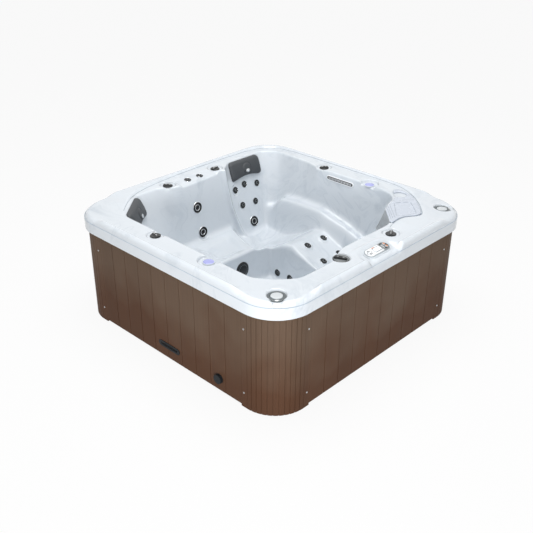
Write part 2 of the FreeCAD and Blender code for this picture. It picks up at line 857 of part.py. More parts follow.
def knob_template(name, radius, height, blade, stem):
    """Knob or handle: skirt with grip flats, a raised blade to turn it by, and a stem."""
    skirt = prism(name + "_skirt", 16, radius, "knob_skirt", z="face_gap")
    drum = prism(name + "_drum", 16, radius + " * 0.8", height + " * 0.6", z="face_gap")
    grip = box(name + "_grip", radius + " * 1.84", blade, height + " - face_gap",
               x="0 - " + radius + " * 0.92", y="0 - " + blade + " / 2", z="face_gap")
    peg = prism(name + "_stem", 10, stem, "knob_stem_length + face_gap + knob_skirt / 2",
                z="0 - knob_stem_length")
    return fuse(name, skirt, drum, grip, peg)


def valve_template(name, stem, radius):
    """Valve under a knob: neck through the shell and a stout body below, bored for the stem."""
    body = cylinder(name + "_body", radius, "valve_length", z="0 - valve_length - cup_wall - seat_gap")
    neck = cylinder(name + "_neck", stem + " + jet_clearance + valve_wall", "valve_length - seat_gap",
                    z="0 - valve_length")
    bore = cylinder(name + "_bore", stem + " + jet_clearance", "knob_stem_length + overrun + jet_clearance",
                    z="0 - knob_stem_length - jet_clearance")
    return cut(name, fuse(name + "_whole", body, neck), bore)


def speaker_template():
    """Pop-up speaker: drum with a lower dome edge."""
    drum = prism("speaker_drum", 20, "speaker_radius", "speaker_height - speaker_crown",
                 z="speaker_cup_depth / 2 - speaker_height")
    crown = prism("speaker_crown_ring", 20, "speaker_radius * 0.8", "speaker_height",
                  z="speaker_cup_depth / 2 - speaker_height")
    return fuse("speaker", drum, crown)


def speaker_housing_template():
    """Sleeve that the speaker slides in, with a flange on the cup floor and a closed foot."""
    inner = "speaker_radius + speaker_gap"
    sleeve = cylinder("housing_sleeve", inner + " + speaker_wall", "speaker_height + speaker_wall",
                      z="0 - speaker_height - speaker_wall")
    flange = cylinder("housing_flange", inner + " + 2 * speaker_wall", "spout_lip", z="seat_gap")
    collar = cylinder("housing_collar", inner + " + speaker_wall", "spout_lip", z="0")
    bore = cylinder("housing_bore", inner, "speaker_height + overrun",
                    z="speaker_cup_depth / 2 - speaker_height - seat_gap")
    return cut("speaker_housing", fuse("housing_whole", sleeve, flange, collar), bore)


void = basin_void(0)
shell_shape = build_shell(void)
jets = jet_places()

small_face, large_face = jet_face_template("small"), jet_face_template("large")
small_body, large_body = jet_body_template("small"), jet_body_template("large")
knob = knob_template("air_knob", "knob_radius", "knob_height", "knob_blade", "knob_stem")
handle = knob_template("handle", "handle_radius", "handle_height", "handle_blade", "handle_stem")
knob_valve = valve_template("air_valve", "knob_stem", "valve_radius")
handle_valve = valve_template("diverter_valve", "handle_stem", "valve_radius + seat_gap")
speaker = speaker_template()
housing = speaker_housing_template()
doc.recompute()

subparts = []


def keep(item, label):
    """Name an object and keep it as a sub-part."""
    item.Label = label
    subparts.append(item)
    return item


# Jets: one rotating face each, all bodies in one group
faces = {"small": small_face.Shape, "large": large_face.Shape}
bodies = {"small": small_body.Shape, "large": large_body.Shape}
holes = []
jet_bodies = []
numbers = {"small": 0, "large": 0}
for kind, frame in jets:
    numbers[kind] += 1
    label = "%s_jet_face_%d" % (kind, numbers[kind])
    keep(solid(label, faces[kind].copy(), frame), label)
    jet_bodies.append(placed(bodies[kind], frame))
    hole = size(kind + "_jet_stem") + size("jet_clearance") + size("jet_body_wall") + size("jet_hole_clearance")
    holes.append(post_cut(hole, size("overrun"), size("overrun"), frame))
keep(solid("jet_bodies", Part.makeCompound(jet_bodies)), "jet_bodies")

# Knobs on the ledge and the valves below them
valves = []
cup_floor = size("ledge_height") - size("cup_depth")
for number, (u, v) in enumerate(knob_shares, start=1):
    place = Placement(Vector(u * size("basin_half"), v * size("basin_half"), cup_floor), Rotation())
    keep(solid("air_knob_%d" % number, knob.Shape.copy(), place), "air_knob_%d" % number)
    valves.append(placed(knob_valve.Shape, place))
    neck = size("knob_stem") + size("jet_clearance") + size("valve_wall") + size("jet_hole_clearance")
    holes.append(post_cut(neck, size("cup_depth") / 2, size("overrun"), place))
place = Placement(Vector(handle_share[0] * size("basin_half"), handle_share[1] * size("basin_half"), cup_floor),
                  Rotation())
keep(solid("diverter_handle", handle.Shape.copy(), place), "diverter_handle")
valves.append(placed(handle_valve.Shape, place))
neck = size("handle_stem") + size("jet_clearance") + size("valve_wall") + size("jet_hole_clearance")
holes.append(post_cut(neck, size("cup_depth") / 2, size("overrun"), place))
keep(solid("valve_bodies", Part.makeCompound(valves)), "valve_bodies")

# Speakers in the +X corners
housings = []
speaker_floor = size("ledge_height") - size("speaker_cup_depth")
for number, spot in enumerate(speaker_places(), start=1):
    place = Placement(spot + Vector(0, 0, speaker_floor), Rotation())
    keep(solid("speaker_%d" % number, speaker.Shape.copy(), place), "speaker_%d" % number)
    housings.append(placed(housing.Shape, place))
    sleeve = size("speaker_radius") + size("speaker_gap") + size("speaker_wall") + size("jet_hole_clearance")
    holes.append(post_cut(sleeve, size("cup_wall") / 2, size("overrun"), place))
keep(solid("speaker_housings", Part.makeCompound(housings)), "speaker_housings")

# Lights in the ledge
lenses = []
for number, (u, v) in enumerate(light_shares, start=1):
    floor = "ledge_height - light_cup_depth + seat_gap"
    rim = cylinder("lens_rim_%d" % number, "lens_radius", "lens_thick", x="basin_half * (%g)" % u,
                   y="basin_half * (%g)" % v, z=floor)
    crown = cylinder("lens_crown_%d" % number, "lens_radius * 0.8", "lens_thick + lens_crown",
                     x="basin_half * (%g)" % u, y="basin_half * (%g)" % v, z=floor)
    lenses.append(fuse("lens_%d" % number, rim, crown))
keep(group("cup_light_lenses", lenses), "cup_light_lenses")
doc.recompute()

# Waterfall spout in the +Y wall, with its slot and trim
point, normal = wall_spot(Vector(size("spout_place"), 0, size("spout_level")), Vector(0, 1, 0))
spout_frame = wall_frame(point, normal, 0)
trim = box("spout_trim", "spout_length + 2 * spout_flange", "spout_height + 2 * spout_flange", "spout_lip",
           x="0 - spout_length / 2 - spout_flange", y="0 - spout_height / 2 - spout_flange", z="face_gap")
throat = box("spout_throat", "spout_length", "spout_height", "spout_depth + face_gap",
             x="0 - spout_length / 2", y="0 - spout_height / 2", z="0 - spout_depth")
slot = box("spout_opening", "spout_length - 2 * spout_flange", "spout_slot", "spout_depth",
           x="0 - spout_length / 2 + spout_flange", y="0 - spout_slot / 2", z="spout_lip - spout_depth / 2")
feed = cylinder("spout_feed", "hose_radius", "hose_radius * 2", z="0 - spout_depth - hose_radius * 2")
spout = cut("spout_whole", fuse("spout_solid", trim, throat, feed), slot)
doc.recompute()
keep(solid("waterfall_spout", spout.Shape.copy(), spout_frame), "waterfall_spout")
gap = size("jet_hole_clearance")
opening = Part.makeBox(size("spout_length") + 2 * gap, size("spout_height") + 2 * gap, 2 * size("overrun"),
                       Vector(-size("spout_length") / 2 - gap, -size("spout_height") / 2 - gap, -size("overrun")))
holes.append(placed(opening, spout_frame))

# Suction cover on the footwell wall
point, normal = wall_spot(Vector(0, 0, size("suction_level")), Vector(-1, 0, 0))
suction_frame = wall_frame(point, normal, 0)
dome = cone("suction_dome", "suction_radius", "suction_radius * 0.8", "suction_thick", z="face_gap")
neck = cylinder("suction_tube", "suction_neck", "suction_reach + face_gap * 2", z="0 - suction_reach")
suction = fuse("suction_solid", dome, neck)
slots = [cylinder("suction_bore", "suction_neck - jet_body_wall", "suction_reach + suction_thick / 2",
                  z="0 - suction_reach")]
for number in range(int(size("suction_slot_count"))):
    shift = number - (size("suction_slot_count") - 1) / 2
    slots.append(box("suction_slot_%d" % number, "suction_radius * 1.2", "suction_slot", "suction_thick",
                     x="0 - suction_radius * 0.6", z="suction_thick / 3",
                     y="suction_slot * (%g) - suction_slot / 2" % (2 * shift)))
suction = cut("suction_whole", suction, *slots)
doc.recompute()
keep(solid("suction_cover", suction.Shape.copy(), suction_frame), "suction_cover")
holes.append(post_cut(size("suction_neck") + gap, size("overrun"), size("overrun"), suction_frame))

# Middle of the filter well and the hole for the bucket's collar
out, aside = corner_ways()
well_middle = (size("well_back") + size("weir_distance")) / 2
well_spot = out * well_middle + aside * ((size("well_left") - size("well_right")) / 2)
well_floor = well_spot + Vector(0, 0, size("well_floor"))
holes.append(post_cut(size("bucket_collar") + gap, size("overrun"), size("overrun"),
                      Placement(well_floor, Rotation())))

# Shell with the holes of its fittings
shell_shape = shell_shape.cut(Part.makeCompound(holes))
keep(solid("acrylic_shell", shell_shape), "acrylic_shell")


# Pillows: crowned cushions with a hollow lower edge and a round boss
def pillow_shape():
    """Pillow in its wall frame: X level, Y up the wall, Z away from it."""
    wide, high = size("pillow_width") / 2, size("pillow_height") / 2
    waist = size("pillow_hollow")
    corner = size("pillow_corner")
    outline = [(-wide, high), (-wide * 1.02, -high * 1.1), (-wide * 0.35, -high + waist),
               (wide * 0.35, -high + waist), (wide * 1.02, -high * 1.1), (wide, high)]
    body = plate(outline, corner, size("face_gap") * 2, size("pillow_thick"))
    top_edges = [edge for edge in body.Edges if edge.BoundBox.ZMin > size("pillow_thick") - size("face_gap")]
    body = body.makeFillet(size("pillow_round"), top_edges)
    boss = Part.makeCylinder(size("pillow_boss"), size("pillow_thick") + size("pillow_crown"))
    boss = boss.makeFillet(size("pillow_crown"), [edge for edge in boss.Edges
                                                  if edge.BoundBox.ZMin > size("pillow_thick")])
    boss = boss.cut(Part.makeCylinder(size("pillow_boss") * 2, size("pillow_thick") / 2))
    return body.fuse(boss)


pillow = pillow_shape()
half = size("basin_half")
point, normal = wall_spot(Vector(0, pillow_share[0] * half, pillow_share[1] * half), Vector(-1, 0, 0))
keep(solid("pillow_lounger", pillow.copy(), wall_frame(point, normal, 0)), "pillow_lounger")
point, normal = wall_spot(Vector(0, size("left_pillow_shift"), left_pillow_share * half),
                          Vector(-1, -1, 0).normalize())
keep(solid("pillow_corner", pillow.copy(), wall_frame(point, normal, size("left_pillow_lift"))),
     "pillow_corner")


# Filter corner: lid with its ribbed weir, the cartridge and the bucket under the well
def lid_shape():
    """Lid over the filter well, its front turned down into a slotted weir."""
    out, aside = corner_ways()
    seat = size("ledge_height") - size("rim_sheet") / 2 + size("seat_gap")
    top = size("ledge_height") + size("lid_lip")
    lid = plate(shaded(lid_shares, size("basin_half")), size("lid_corner"), seat, top)
    crest = [edge for edge in lid.Edges if edge.BoundBox.ZMin > top - size("seat_gap")]
    lid = lid.makeFillet(size("lid_lip") / 2, crest)
    rise = top - size("weir_foot")
    near = size("weir_distance")
    side = [(near - size("weir_lean"), 0), (near - size("weir_lean") + size("weir_thick"), 0),
            (near + size("weir_thick"), rise - size("lid_lip")), (near, rise - size("lid_lip"))]
    left = size("well_left") - size("lid_gap")
    right = size("well_right") - size("lid_gap")
    weir = side_slab(side, size("seat_gap"), -right, left)
    pitch = (left + right) / size("weir_slot_count")
    slots = []
    for number in range(int(size("weir_slot_count"))):
        start = -right + pitch * (number + 0.5) - size("weir_slot") / 2
        slots.append(Part.makeBox(near, size("weir_slot"), rise - 3 * size("weir_slot"),
                                  Vector(near / 2, start, size("weir_slot"))))
    weir = weir.cut(Part.makeCompound(slots))
    weir.translate(Vector(0, 0, size("weir_foot")))
    weir.rotate(Vector(0, 0, 0), Vector(0, 0, 1), 45)
    lid = lid.fuse(weir)
    dimple = Vector(dimple_share[0] * size("basin_half"), dimple_share[1] * size("basin_half"),
                    top - size("lid_dimple_depth"))
    return lid.cut(Part.makeCylinder(size("lid_dimple_radius"), size("overrun"), dimple))


dimple_share = (0.586, 0.965)
keep(solid("filter_lid", lid_shape()), "filter_lid")


def cartridge_body():
    """Pleated filter cartridge: bored core with pleats, two end caps and a handle."""
    body = new_body("cartridge_body")
    core = new_sketch(body, "core_plan", "XY_Plane")
    sketch_circle(core, "cartridge_radius")
    pad(body, "core", core, "cartridge_height")
    pleat = new_sketch(body, "pleat_plan", "XY_Plane", "cartridge_cap")
    sketch_box(pleat, "cartridge_radius - cartridge_pleat_depth", "0 - cartridge_pleat_depth / 3",
               "cartridge_radius + overrun", "cartridge_pleat_depth / 3", (10, -10, 30, 10))
    groove = pocket(body, "pleat", pleat, "cartridge_height - 2 * cartridge_cap", True)
    doc.recompute()
    pleats = body.newObject("PartDesign::PolarPattern", "pleats")
    pleats.Originals = [groove]
    pleats.Axis = (plane_of(body, "Z_Axis"), [""])
    pleats.Angle = 360
    pleats.setExpression("Occurrences", formula("cartridge_pleat_count"))
    body.Tip = pleats
    bore = new_sketch(body, "bore_plan", "XY_Plane")
    sketch_circle(bore, "cartridge_bore")
    pocket(body, "bore", bore, "cartridge_height - cartridge_cap / 2", True)
    return body


cartridge = cartridge_body()
grip = box("cartridge_grip", "cartridge_radius", "cartridge_cap", "cartridge_handle",
           x="0 - cartridge_radius / 2", y="0 - cartridge_cap / 2", z="cartridge_height")
cartridge_whole = fuse("cartridge_whole", cartridge, grip)
bucket_outer = cylinder("bucket_outer", "bucket_radius", "bucket_depth",
                        z="0 - bucket_depth - shell_wall - seat_gap")
bucket_neck = cylinder("bucket_neck_tube", "bucket_neck", "bucket_depth",
                       z="0 - 2 * bucket_depth - shell_wall")
bucket_collar = cylinder("bucket_mouth", "bucket_collar", "bucket_depth / 2", z="0 - bucket_depth / 2")
bucket_inner = cylinder("bucket_inner", "bucket_radius - bucket_wall", "bucket_depth - 2 * bucket_wall",
                        z="bucket_wall - bucket_depth - shell_wall")
bucket_way = cylinder("bucket_way", "bucket_neck - bucket_wall", "3 * bucket_depth",
                      z="0 - 2 * bucket_depth - shell_wall")
bucket = cut("bucket_whole", fuse("bucket_solid", bucket_outer, bucket_neck, bucket_collar),
             bucket_inner, bucket_way)
doc.recompute()
keep(solid("filter_cartridge", cartridge_whole.Shape.copy(),
           Placement(well_floor + Vector(0, 0, size("seat_gap")), Rotation())), "filter_cartridge")
keep(solid("filter_bucket", bucket.Shape.copy(), Placement(well_floor, Rotation())), "filter_bucket")

# Control panel in its sloping bay
slope = math.degrees(math.atan2(size("bay_rise") - size("bay_fall"),
                                size("lip_half") + size("overrun") - size("bay_inner")))
bay_middle = (size("bay_inner") + size("lip_half")) / 2
share = (bay_middle - size("bay_inner")) / (size("lip_half") + size("overrun") - size("bay_inner"))
bay_level = size("bay_rise") - share * (size("bay_rise") - size("bay_fall"))
panel_frame = Placement(Vector(bay_middle, size("bay_place"), bay_level), Rotation(Vector(0, 1, 0), slope))


def stadium(name, length, width, height, z="0"):
    """Flat piece with round ends, its length along local Y."""
    straight = box(name + "_middle", width, length + " - " + width, height, x="0 - (" + width + ") / 2",
                   y="0 - (" + length + " - " + width + ") / 2", z=z)
    ends = []
    for side, sign in (("near", "0 - "), ("far", "")):
        ends.append(cylinder(name + "_" + side, "(" + width + ") / 2", height,
                             y=sign + "(" + length + " - " + width + ") / 2", z=z))
    return fuse(name, straight, *ends)


case = stadium("case_solid", "panel_length", "panel_width", "panel_thick", "face_gap")
step = stadium("case_step", "panel_length - 2 * panel_sink", "panel_width - 2 * panel_sink",
               "panel_thick + window_thick", "face_gap")
window_bed = box("window_bed", "window_width + 2 * seat_gap", "window_length + 2 * seat_gap", "panel_thick",
                 x="0 - window_width / 2 - seat_gap", y="0 - window_length / 2 - seat_gap",
                 z="panel_thick")
beds = [window_bed]
button_spots = []
for number, (sign_y, sign_x) in enumerate(((-1, -1), (-1, 1), (1, -1), (1, 1)), start=1):
    across = "button_spread * (%g) / 2" % sign_x
    along = "button_place * (%g)" % sign_y
    beds.append(cylinder("button_bed_%d" % number, "button_radius + jet_clearance", "panel_thick + overrun",
                         x=across, y=along, z="panel_thick / 2"))
    beds.append(cylinder("button_way_%d" % number, "button_peg_radius + seat_gap", "panel_thick",
                         x=across, y=along, z="button_peg_floor"))
    button_spots.append(Vector(size("button_spread") * sign_x / 2, size("button_place") * sign_y, 0))
case = cut("case_whole", fuse("case_body", case, step), *beds)
pad_level = "panel_thick / 2 + button_travel + face_gap"
button = fuse("button_blank", prism("button_pad", 12, "button_radius", "button_height", z=pad_level),
              prism("button_peg", 8, "button_peg_radius", "button_peg_length + face_gap",
                    z=pad_level + " - button_peg_length"))
window = box("window_blank", "window_width", "window_length", "window_thick",
             x="0 - window_width / 2", y="0 - window_length / 2", z="panel_thick + seat_gap")
doc.recompute()
keep(solid("panel_case", case.Shape.copy(), panel_frame), "panel_case")
keep(solid("panel_window", window.Shape.copy(), panel_frame.multiply(window.Shape.Placement)), "panel_window")
for number, spot in enumerate(button_spots, start=1):
    label = "panel_button_%d" % number
    keep(solid(label, button.Shape.copy(), panel_frame.multiply(Placement(spot, Rotation()))), label)


# Cabinet: plank panels, fluted corners with flat strips, screws
def plank_panel(name):
    """Side panel of upright boards, its grooves cut by a pattern. The outer face looks along -Y."""
    body = new_body(name)
    plan = new_sketch(body, name + "_face", "XZ_Plane")
    half_length = "(cabinet_half - corner_radius - strip_width - strip_gap)"
    sketch_box(plan, "0 - " + half_length, "board_base", half_length, "cabinet_top", (-10, 10, 10, 20))
    pad(body, name + "_sheet", plan, "board_thick")
    mark = new_sketch(body, name + "_groove_plan", "XZ_Plane", "board_thick")
    pitch = "(2 * " + half_length + " / board_count)"
    sketch_box(mark, "0 - " + half_length + " + " + pitch + " - board_groove / 2", "board_base - overrun",
               "0 - " + half_length + " + " + pitch + " + board_groove / 2", "cabinet_top + overrun",
               (-10, -10, -8, 20))
    groove = pocket(body, name + "_groove", mark, "board_groove_depth")
    doc.recompute()
    grooves = body.newObject("PartDesign::LinearPattern", name + "_grooves")
    grooves.Originals = [groove]
    grooves.Direction = (plane_of(body, "X_Axis"), [""])
    grooves.setExpression("Length", formula("2 * " + half_length + " - 2 * " + pitch))
    grooves.setExpression("Occurrences", formula("board_count - 1"))
    body.Tip = grooves
    return body


panel_body = plank_panel("plank_panel")
doc.recompute()
reach = size("cabinet_half") - size("board_thick")
for label, quarter in (("side_panel_left", 3), ("side_panel_back", 2), ("side_panel_right", 1)):
    place = Placement(Vector(0, 0, 0), Rotation(Vector(0, 0, 1), 90 * quarter))
    place = place.multiply(Placement(Vector(0, -reach, 0), Rotation()))
    keep(solid(label, placed(panel_body.Shape, Placement()), place), label)

# The access panel has holes for the vent and the drain
access_body = plank_panel("access_blank")
locate(access_body, y="board_thick - cabinet_half")
half_vent = "(vent_length - vent_height) / 2"
to_front = pointed((0, -1, 0))
vent_tools = [box("vent_hole_middle", "vent_length - vent_height", "2 * overrun", "vent_height - 2 * vent_rim",
                  x="vent_place - " + half_vent, y="0 - cabinet_half - overrun / 2",
                  z="vent_level - vent_height / 2 + vent_rim")]
for side, sign in (("left", "-"), ("right", "+")):
    vent_tools.append(cylinder("vent_hole_" + side, "vent_height / 2 - vent_rim", "2 * overrun",
                               x="vent_place " + sign + " " + half_vent, z="vent_level",
                               y="overrun * 1.5 - cabinet_half", turn=to_front))
drain_hole = cylinder("drain_hole", "drain_radius + drain_hole_gap", "2 * overrun", x="drain_place",
                      y="overrun * 1.5 - cabinet_half", z="drain_level", turn=to_front)
access = cut("access_panel", access_body, drain_hole, *vent_tools)
keep(access, "access_panel")

# Oval vent with level bars
vent_parts = [box("vent_plate", "vent_length - vent_height", "vent_flange", "vent_height",
                  x="vent_place - " + half_vent, y="0 - cabinet_half - vent_flange - seat_gap",
                  z="vent_level - vent_height / 2")]
vent_collar = [box("vent_collar", "vent_length - vent_height", "board_thick + seat_gap + vent_flange",
                   "vent_height - 2 * vent_rim - 2 * seat_gap", x="vent_place - " + half_vent,
                   y="0 - cabinet_half - seat_gap - vent_flange",
                   z="vent_level - vent_height / 2 + vent_rim + seat_gap")]
for side, sign in (("left", "-"), ("right", "+")):
    vent_parts.append(cylinder("vent_end_" + side, "vent_height / 2", "vent_flange",
                               x="vent_place " + sign + " " + half_vent,
                               y="0 - cabinet_half - seat_gap", z="vent_level", turn=to_front))
    vent_collar.append(cylinder("vent_collar_" + side, "vent_height / 2 - vent_rim - seat_gap",
                                "board_thick + seat_gap + vent_flange",
                                x="vent_place " + sign + " " + half_vent,
                                y="board_thick - cabinet_half", z="vent_level", turn=to_front))
gap_count = int(size("vent_bar_count")) + 1
vent_gaps = []
clear_height = "(vent_height - 2 * vent_rim - 2 * vent_bar)"
for number in range(gap_count):
    vent_gaps.append(box("vent_gap_%d" % number, "vent_length - vent_height", "board_thick * 3",
                         clear_height + " / (vent_bar_count + 1) - vent_bar / 2", x="vent_place - " + half_vent,
                         y="0 - cabinet_half - board_thick",
                         z="vent_level - " + clear_height + " / 2 + vent_bar / 4 + %d * " % number
                           + clear_height + " / (vent_bar_count + 1)"))
vent = cut("vent_grille", fuse("vent_solid", *(vent_parts + vent_collar)), *vent_gaps)
keep(vent, "vent_grille")


def corner_piece():
    """Fluted quarter-round board: a quarter ring with upright grooves patterned round it."""
    body = new_body("corner_piece")
    ring = new_sketch(body, "corner_ring", "XY_Plane")
    sketch_circle(ring, "corner_radius", guess=30)
    sketch_circle(ring, "corner_radius - board_thick", guess=20)
    pad(body, "corner_tube", ring, "cabinet_top")
    flute = new_sketch(body, "flute_plan", "XY_Plane")
    sketch_box(flute, "corner_radius - flute_depth", "0 - flute_width / 2", "corner_radius + overrun",
               "flute_width / 2", (10, -10, 30, 10))
    groove = pocket(body, "flute", flute, "cabinet_top", True)
    doc.recompute()
    flutes = body.newObject("PartDesign::PolarPattern", "flutes")
    flutes.Originals = [groove]
    flutes.Axis = (plane_of(body, "Z_Axis"), [""])
    flutes.Angle = 360
    flutes.setExpression("Occurrences", formula("4 * flute_count"))
    body.Tip = flutes
    return body


corner_tube = corner_piece()
quarter_box = box("corner_quarter", "corner_radius + overrun", "corner_radius + overrun",
                  "cabinet_top + 2 * overrun", z="0 - overrun")
quarter = common("corner_quarter_ring", corner_tube, quarter_box)
doc.recompute()
quarter_shape = quarter.Shape.copy()
trim_pieces = []
strip_tools = []
screws = []
corner_middle = size("cabinet_half") - size("corner_radius")
strip_low = corner_middle - size("strip_width")
for number in range(4):
    spin = Placement(Vector(0, 0, 0), Rotation(Vector(0, 0, 1), 90 * number))
    trim_pieces.append(placed(quarter_shape, spin.multiply(Placement(Vector(corner_middle, corner_middle, 0),
                                                                     Rotation()))))
    for side in (1, -1):
        start = strip_low if side > 0 else -corner_middle + size("seat_gap")
        strip = Part.makeBox(size("strip_width") - size("seat_gap"), size("board_thick"), size("cabinet_top"),
                             Vector(start, -size("cabinet_half"), 0))
        middle = side * (corner_middle - size("strip_width") / 2)
        for level in (size("screw_low"), size("screw_high")):
            hole = Part.makeCylinder(size("screw_hole_radius"), 4 * size("board_thick"),
                                     Vector(middle, -size("cabinet_half") - size("board_thick"), level),
                                     Vector(0, 1, 0))
            strip = strip.cut(hole)
            head = Part.makeCylinder(size("screw_head_radius"), size("screw_head"),
                                     Vector(middle, -size("cabinet_half") - size("screw_head"), level),
                                     Vector(0, 1, 0))
            shank = Part.makeCylinder(size("screw_shank_radius"), size("screw_length"),
                                      Vector(middle, -size("cabinet_half") - size("screw_head") / 2, level),
                                      Vector(0, 1, 0))
            screws.append(placed(head.fuse(shank), spin))
        trim_pieces.append(placed(strip, spin))
keep(solid("corner_trim", Part.makeCompound(trim_pieces)), "corner_trim")
keep(solid("cabinet_screws", Part.makeCompound(screws)), "cabinet_screws")

# Base pan and timber frame
pan_half = size("cabinet_half") - size("board_thick") - size("seat_gap")
kerb_half = pan_half - size("timber_thick") - size("seat_gap")
pan = plate(square(pan_half), size("corner_radius") - size("board_thick") - size("seat_gap"), 0, size("pan_wall"))
kerb = plate(square(kerb_half), size("pan_corner_radius"), size("pan_wall") / 2, size("pan_height"))
kerb = kerb.cut(plate(square(kerb_half - size("pan_wall")), size("pan_corner_radius") - size("pan_wall"),
                      size("pan_wall") / 2, size("pan_height")))
keep(solid("base_pan", pan.fuse(kerb)), "base_pan")

timbers = []
rail_low = size("rail_low")
bearer_height = size("ledge_height") - size("rim_sheet") - size("rail_top")
post_middle = corner_middle - size("strip_width") / 2
post_places = [-post_middle, -size("post_shift"), size("post_shift"), post_middle]
for number in range(4):
    spin = Placement(Vector(0, 0, 0), Rotation(Vector(0, 0, 1), 90 * number))
    end = post_middle + size("timber_width") / 2
    rail = Part.makeBox(2 * end, size("rail_thick"), size("rail_top") - rail_low, Vector(-end, -pan_half, rail_low))
    timbers.append(placed(rail, spin))
    bearer_length = size("bearer_far") - size("bearer_near")
    for start in (-size("bearer_far"), size("bearer_near")):
        bearer = Part.makeBox(bearer_length, size("rail_thick"), bearer_height,
                              Vector(start, -pan_half, size("rail_top")))
        timbers.append(placed(bearer, spin))
    sill = Part.makeBox(2 * end, size("timber_thick"), size("timber_thick"),
                        Vector(-end, -pan_half, size("pan_wall")))
    timbers.append(placed(sill, spin))
    for middle in post_places:
        post_foot = size("pan_wall") + size("timber_thick")
        post = Part.makeBox(size("timber_width"), size("timber_thick"), rail_low - post_foot,
                            Vector(middle - size("timber_width") / 2, -pan_half, post_foot))
        timbers.append(placed(post, spin))
keep(solid("timber_frame", Part.makeCompound(timbers)), "timber_frame")

# Drain outlet clamped in the access panel by its collar, with its cap in front
tube = cylinder("drain_tube", "drain_radius", "drain_reach", x="drain_place", z="drain_level",
                y="pan_wall - cabinet_half - drain_cap_depth + drain_reach", turn=to_front)
collar = cylinder("drain_collar", "drain_flange", "pan_wall", x="drain_place", z="drain_level",
                  y="pan_wall + board_thick + seat_gap - cabinet_half", turn=to_front)
drain_way = cylinder("drain_way", "drain_bore", "drain_reach + 2 * overrun", x="drain_place", z="drain_level",
                     y="drain_reach + overrun - cabinet_half - drain_cap_depth", turn=to_front)
keep(cut("drain_valve", fuse("drain_solid", tube, collar), drain_way), "drain_valve")
cap_blank = prism("cap_blank", 18, "drain_cap_radius", "drain_cap_depth", x="drain_place", z="drain_level",
                  y="0 - cabinet_half - seat_gap", turn=to_front)
cap_hollow = cylinder("cap_hollow", "drain_radius + jet_clearance / 2", "drain_cap_depth - pan_wall + overrun",
                      x="drain_place", z="drain_level", y="overrun - cabinet_half - seat_gap", turn=to_front)
keep(cut("drain_cap", cap_blank, cap_hollow), "drain_cap")

# Pump: wet end with its ports, impeller on the shaft, motor on a foot
along = pointed((1, 0, 0))
to_back = pointed((0, 1, 0))
wet_start = "pump_place - wet_length"
wet = cylinder("wet_shell", "wet_radius", "wet_length", x=wet_start, y="pump_line", z="pump_axis", turn=along)
wet_room = cylinder("wet_room", "wet_radius - wet_wall", "wet_length - 2 * wet_wall", x=wet_start + " + wet_wall",
                    y="pump_line", z="pump_axis", turn=along)
inlet = cylinder("wet_inlet", "port_radius", "port_length + wet_wall", x=wet_start + " - port_length",
                 y="pump_line", z="pump_axis", turn=along)
inlet_way = cylinder("wet_inlet_way", "port_radius - port_wall", "port_length + 2 * wet_wall",
                     x=wet_start + " - port_length", y="pump_line", z="pump_axis", turn=along)
outlet = cylinder("wet_outlet", "port_radius", "wet_radius + port_length / 2", x=wet_start + " + wet_length / 2",
                  y="pump_line", z="pump_axis + wet_radius - port_radius", turn=to_front)
outlet_way = cylinder("wet_outlet_way", "port_radius - port_wall", "wet_radius + port_length",
                      x=wet_start + " + wet_length / 2", y="pump_line",
                      z="pump_axis + wet_radius - port_radius", turn=to_front)
shaft_way = cylinder("wet_shaft_way", "shaft_radius + shaft_gap", "2 * wet_wall", x="pump_place - 1.5 * wet_wall",
                     y="pump_line", z="pump_axis", turn=along)
keep(cut("pump_casing", fuse("wet_solid", wet, inlet, outlet), wet_room, inlet_way, outlet_way, shaft_way),
     "pump_casing")
motor_parts = [cylinder("motor_drum", "motor_radius", "motor_length", x="pump_place + seat_gap", y="pump_line",
                        z="pump_axis", turn=along),
               box("motor_base", "motor_foot", "motor_radius * 1.2", "pump_axis - pan_wall",
                   x="pump_place + motor_length / 2 - motor_foot / 2",
                   y="pump_line - motor_radius * 0.6", z="pan_wall")]
motor = fuse("motor_solid", *motor_parts)
motor_way = cylinder("motor_shaft_way", "shaft_radius + shaft_gap", "motor_foot", x="pump_place", y="pump_line",
                     z="pump_axis", turn=along)
keep(cut("pump_motor", motor, motor_way), "pump_motor")
hub = prism("impeller_hub", 12, "shaft_radius * 2", "impeller_width", x="pump_place - wet_wall * 1.5 - impeller_width",
            y="pump_line", z="pump_axis", turn=along)
disc = prism("impeller_disc", 24, "impeller_radius", "impeller_blade", y="pump_line", z="pump_axis",
             x="pump_place - wet_wall * 1.5 - impeller_blade", turn=along)
shaft = prism("impeller_shaft", 16, "shaft_radius", "motor_foot / 2", x="pump_place - wet_wall * 2",
              y="pump_line", z="pump_axis", turn=along)
blades = []
for number in range(int(size("impeller_blade_count"))):
    way = Rotation(Vector(1, 0, 0), 360 * number / size("impeller_blade_count"))
    blades.append(box("impeller_blade_%d" % number, "impeller_width", "impeller_radius * 0.95", "impeller_blade",
                      x="pump_place - wet_wall * 1.5 - impeller_width", y="pump_line", z="pump_axis", turn=way))
keep(fuse("pump_impeller", hub, disc, shaft, *blades), "pump_impeller")

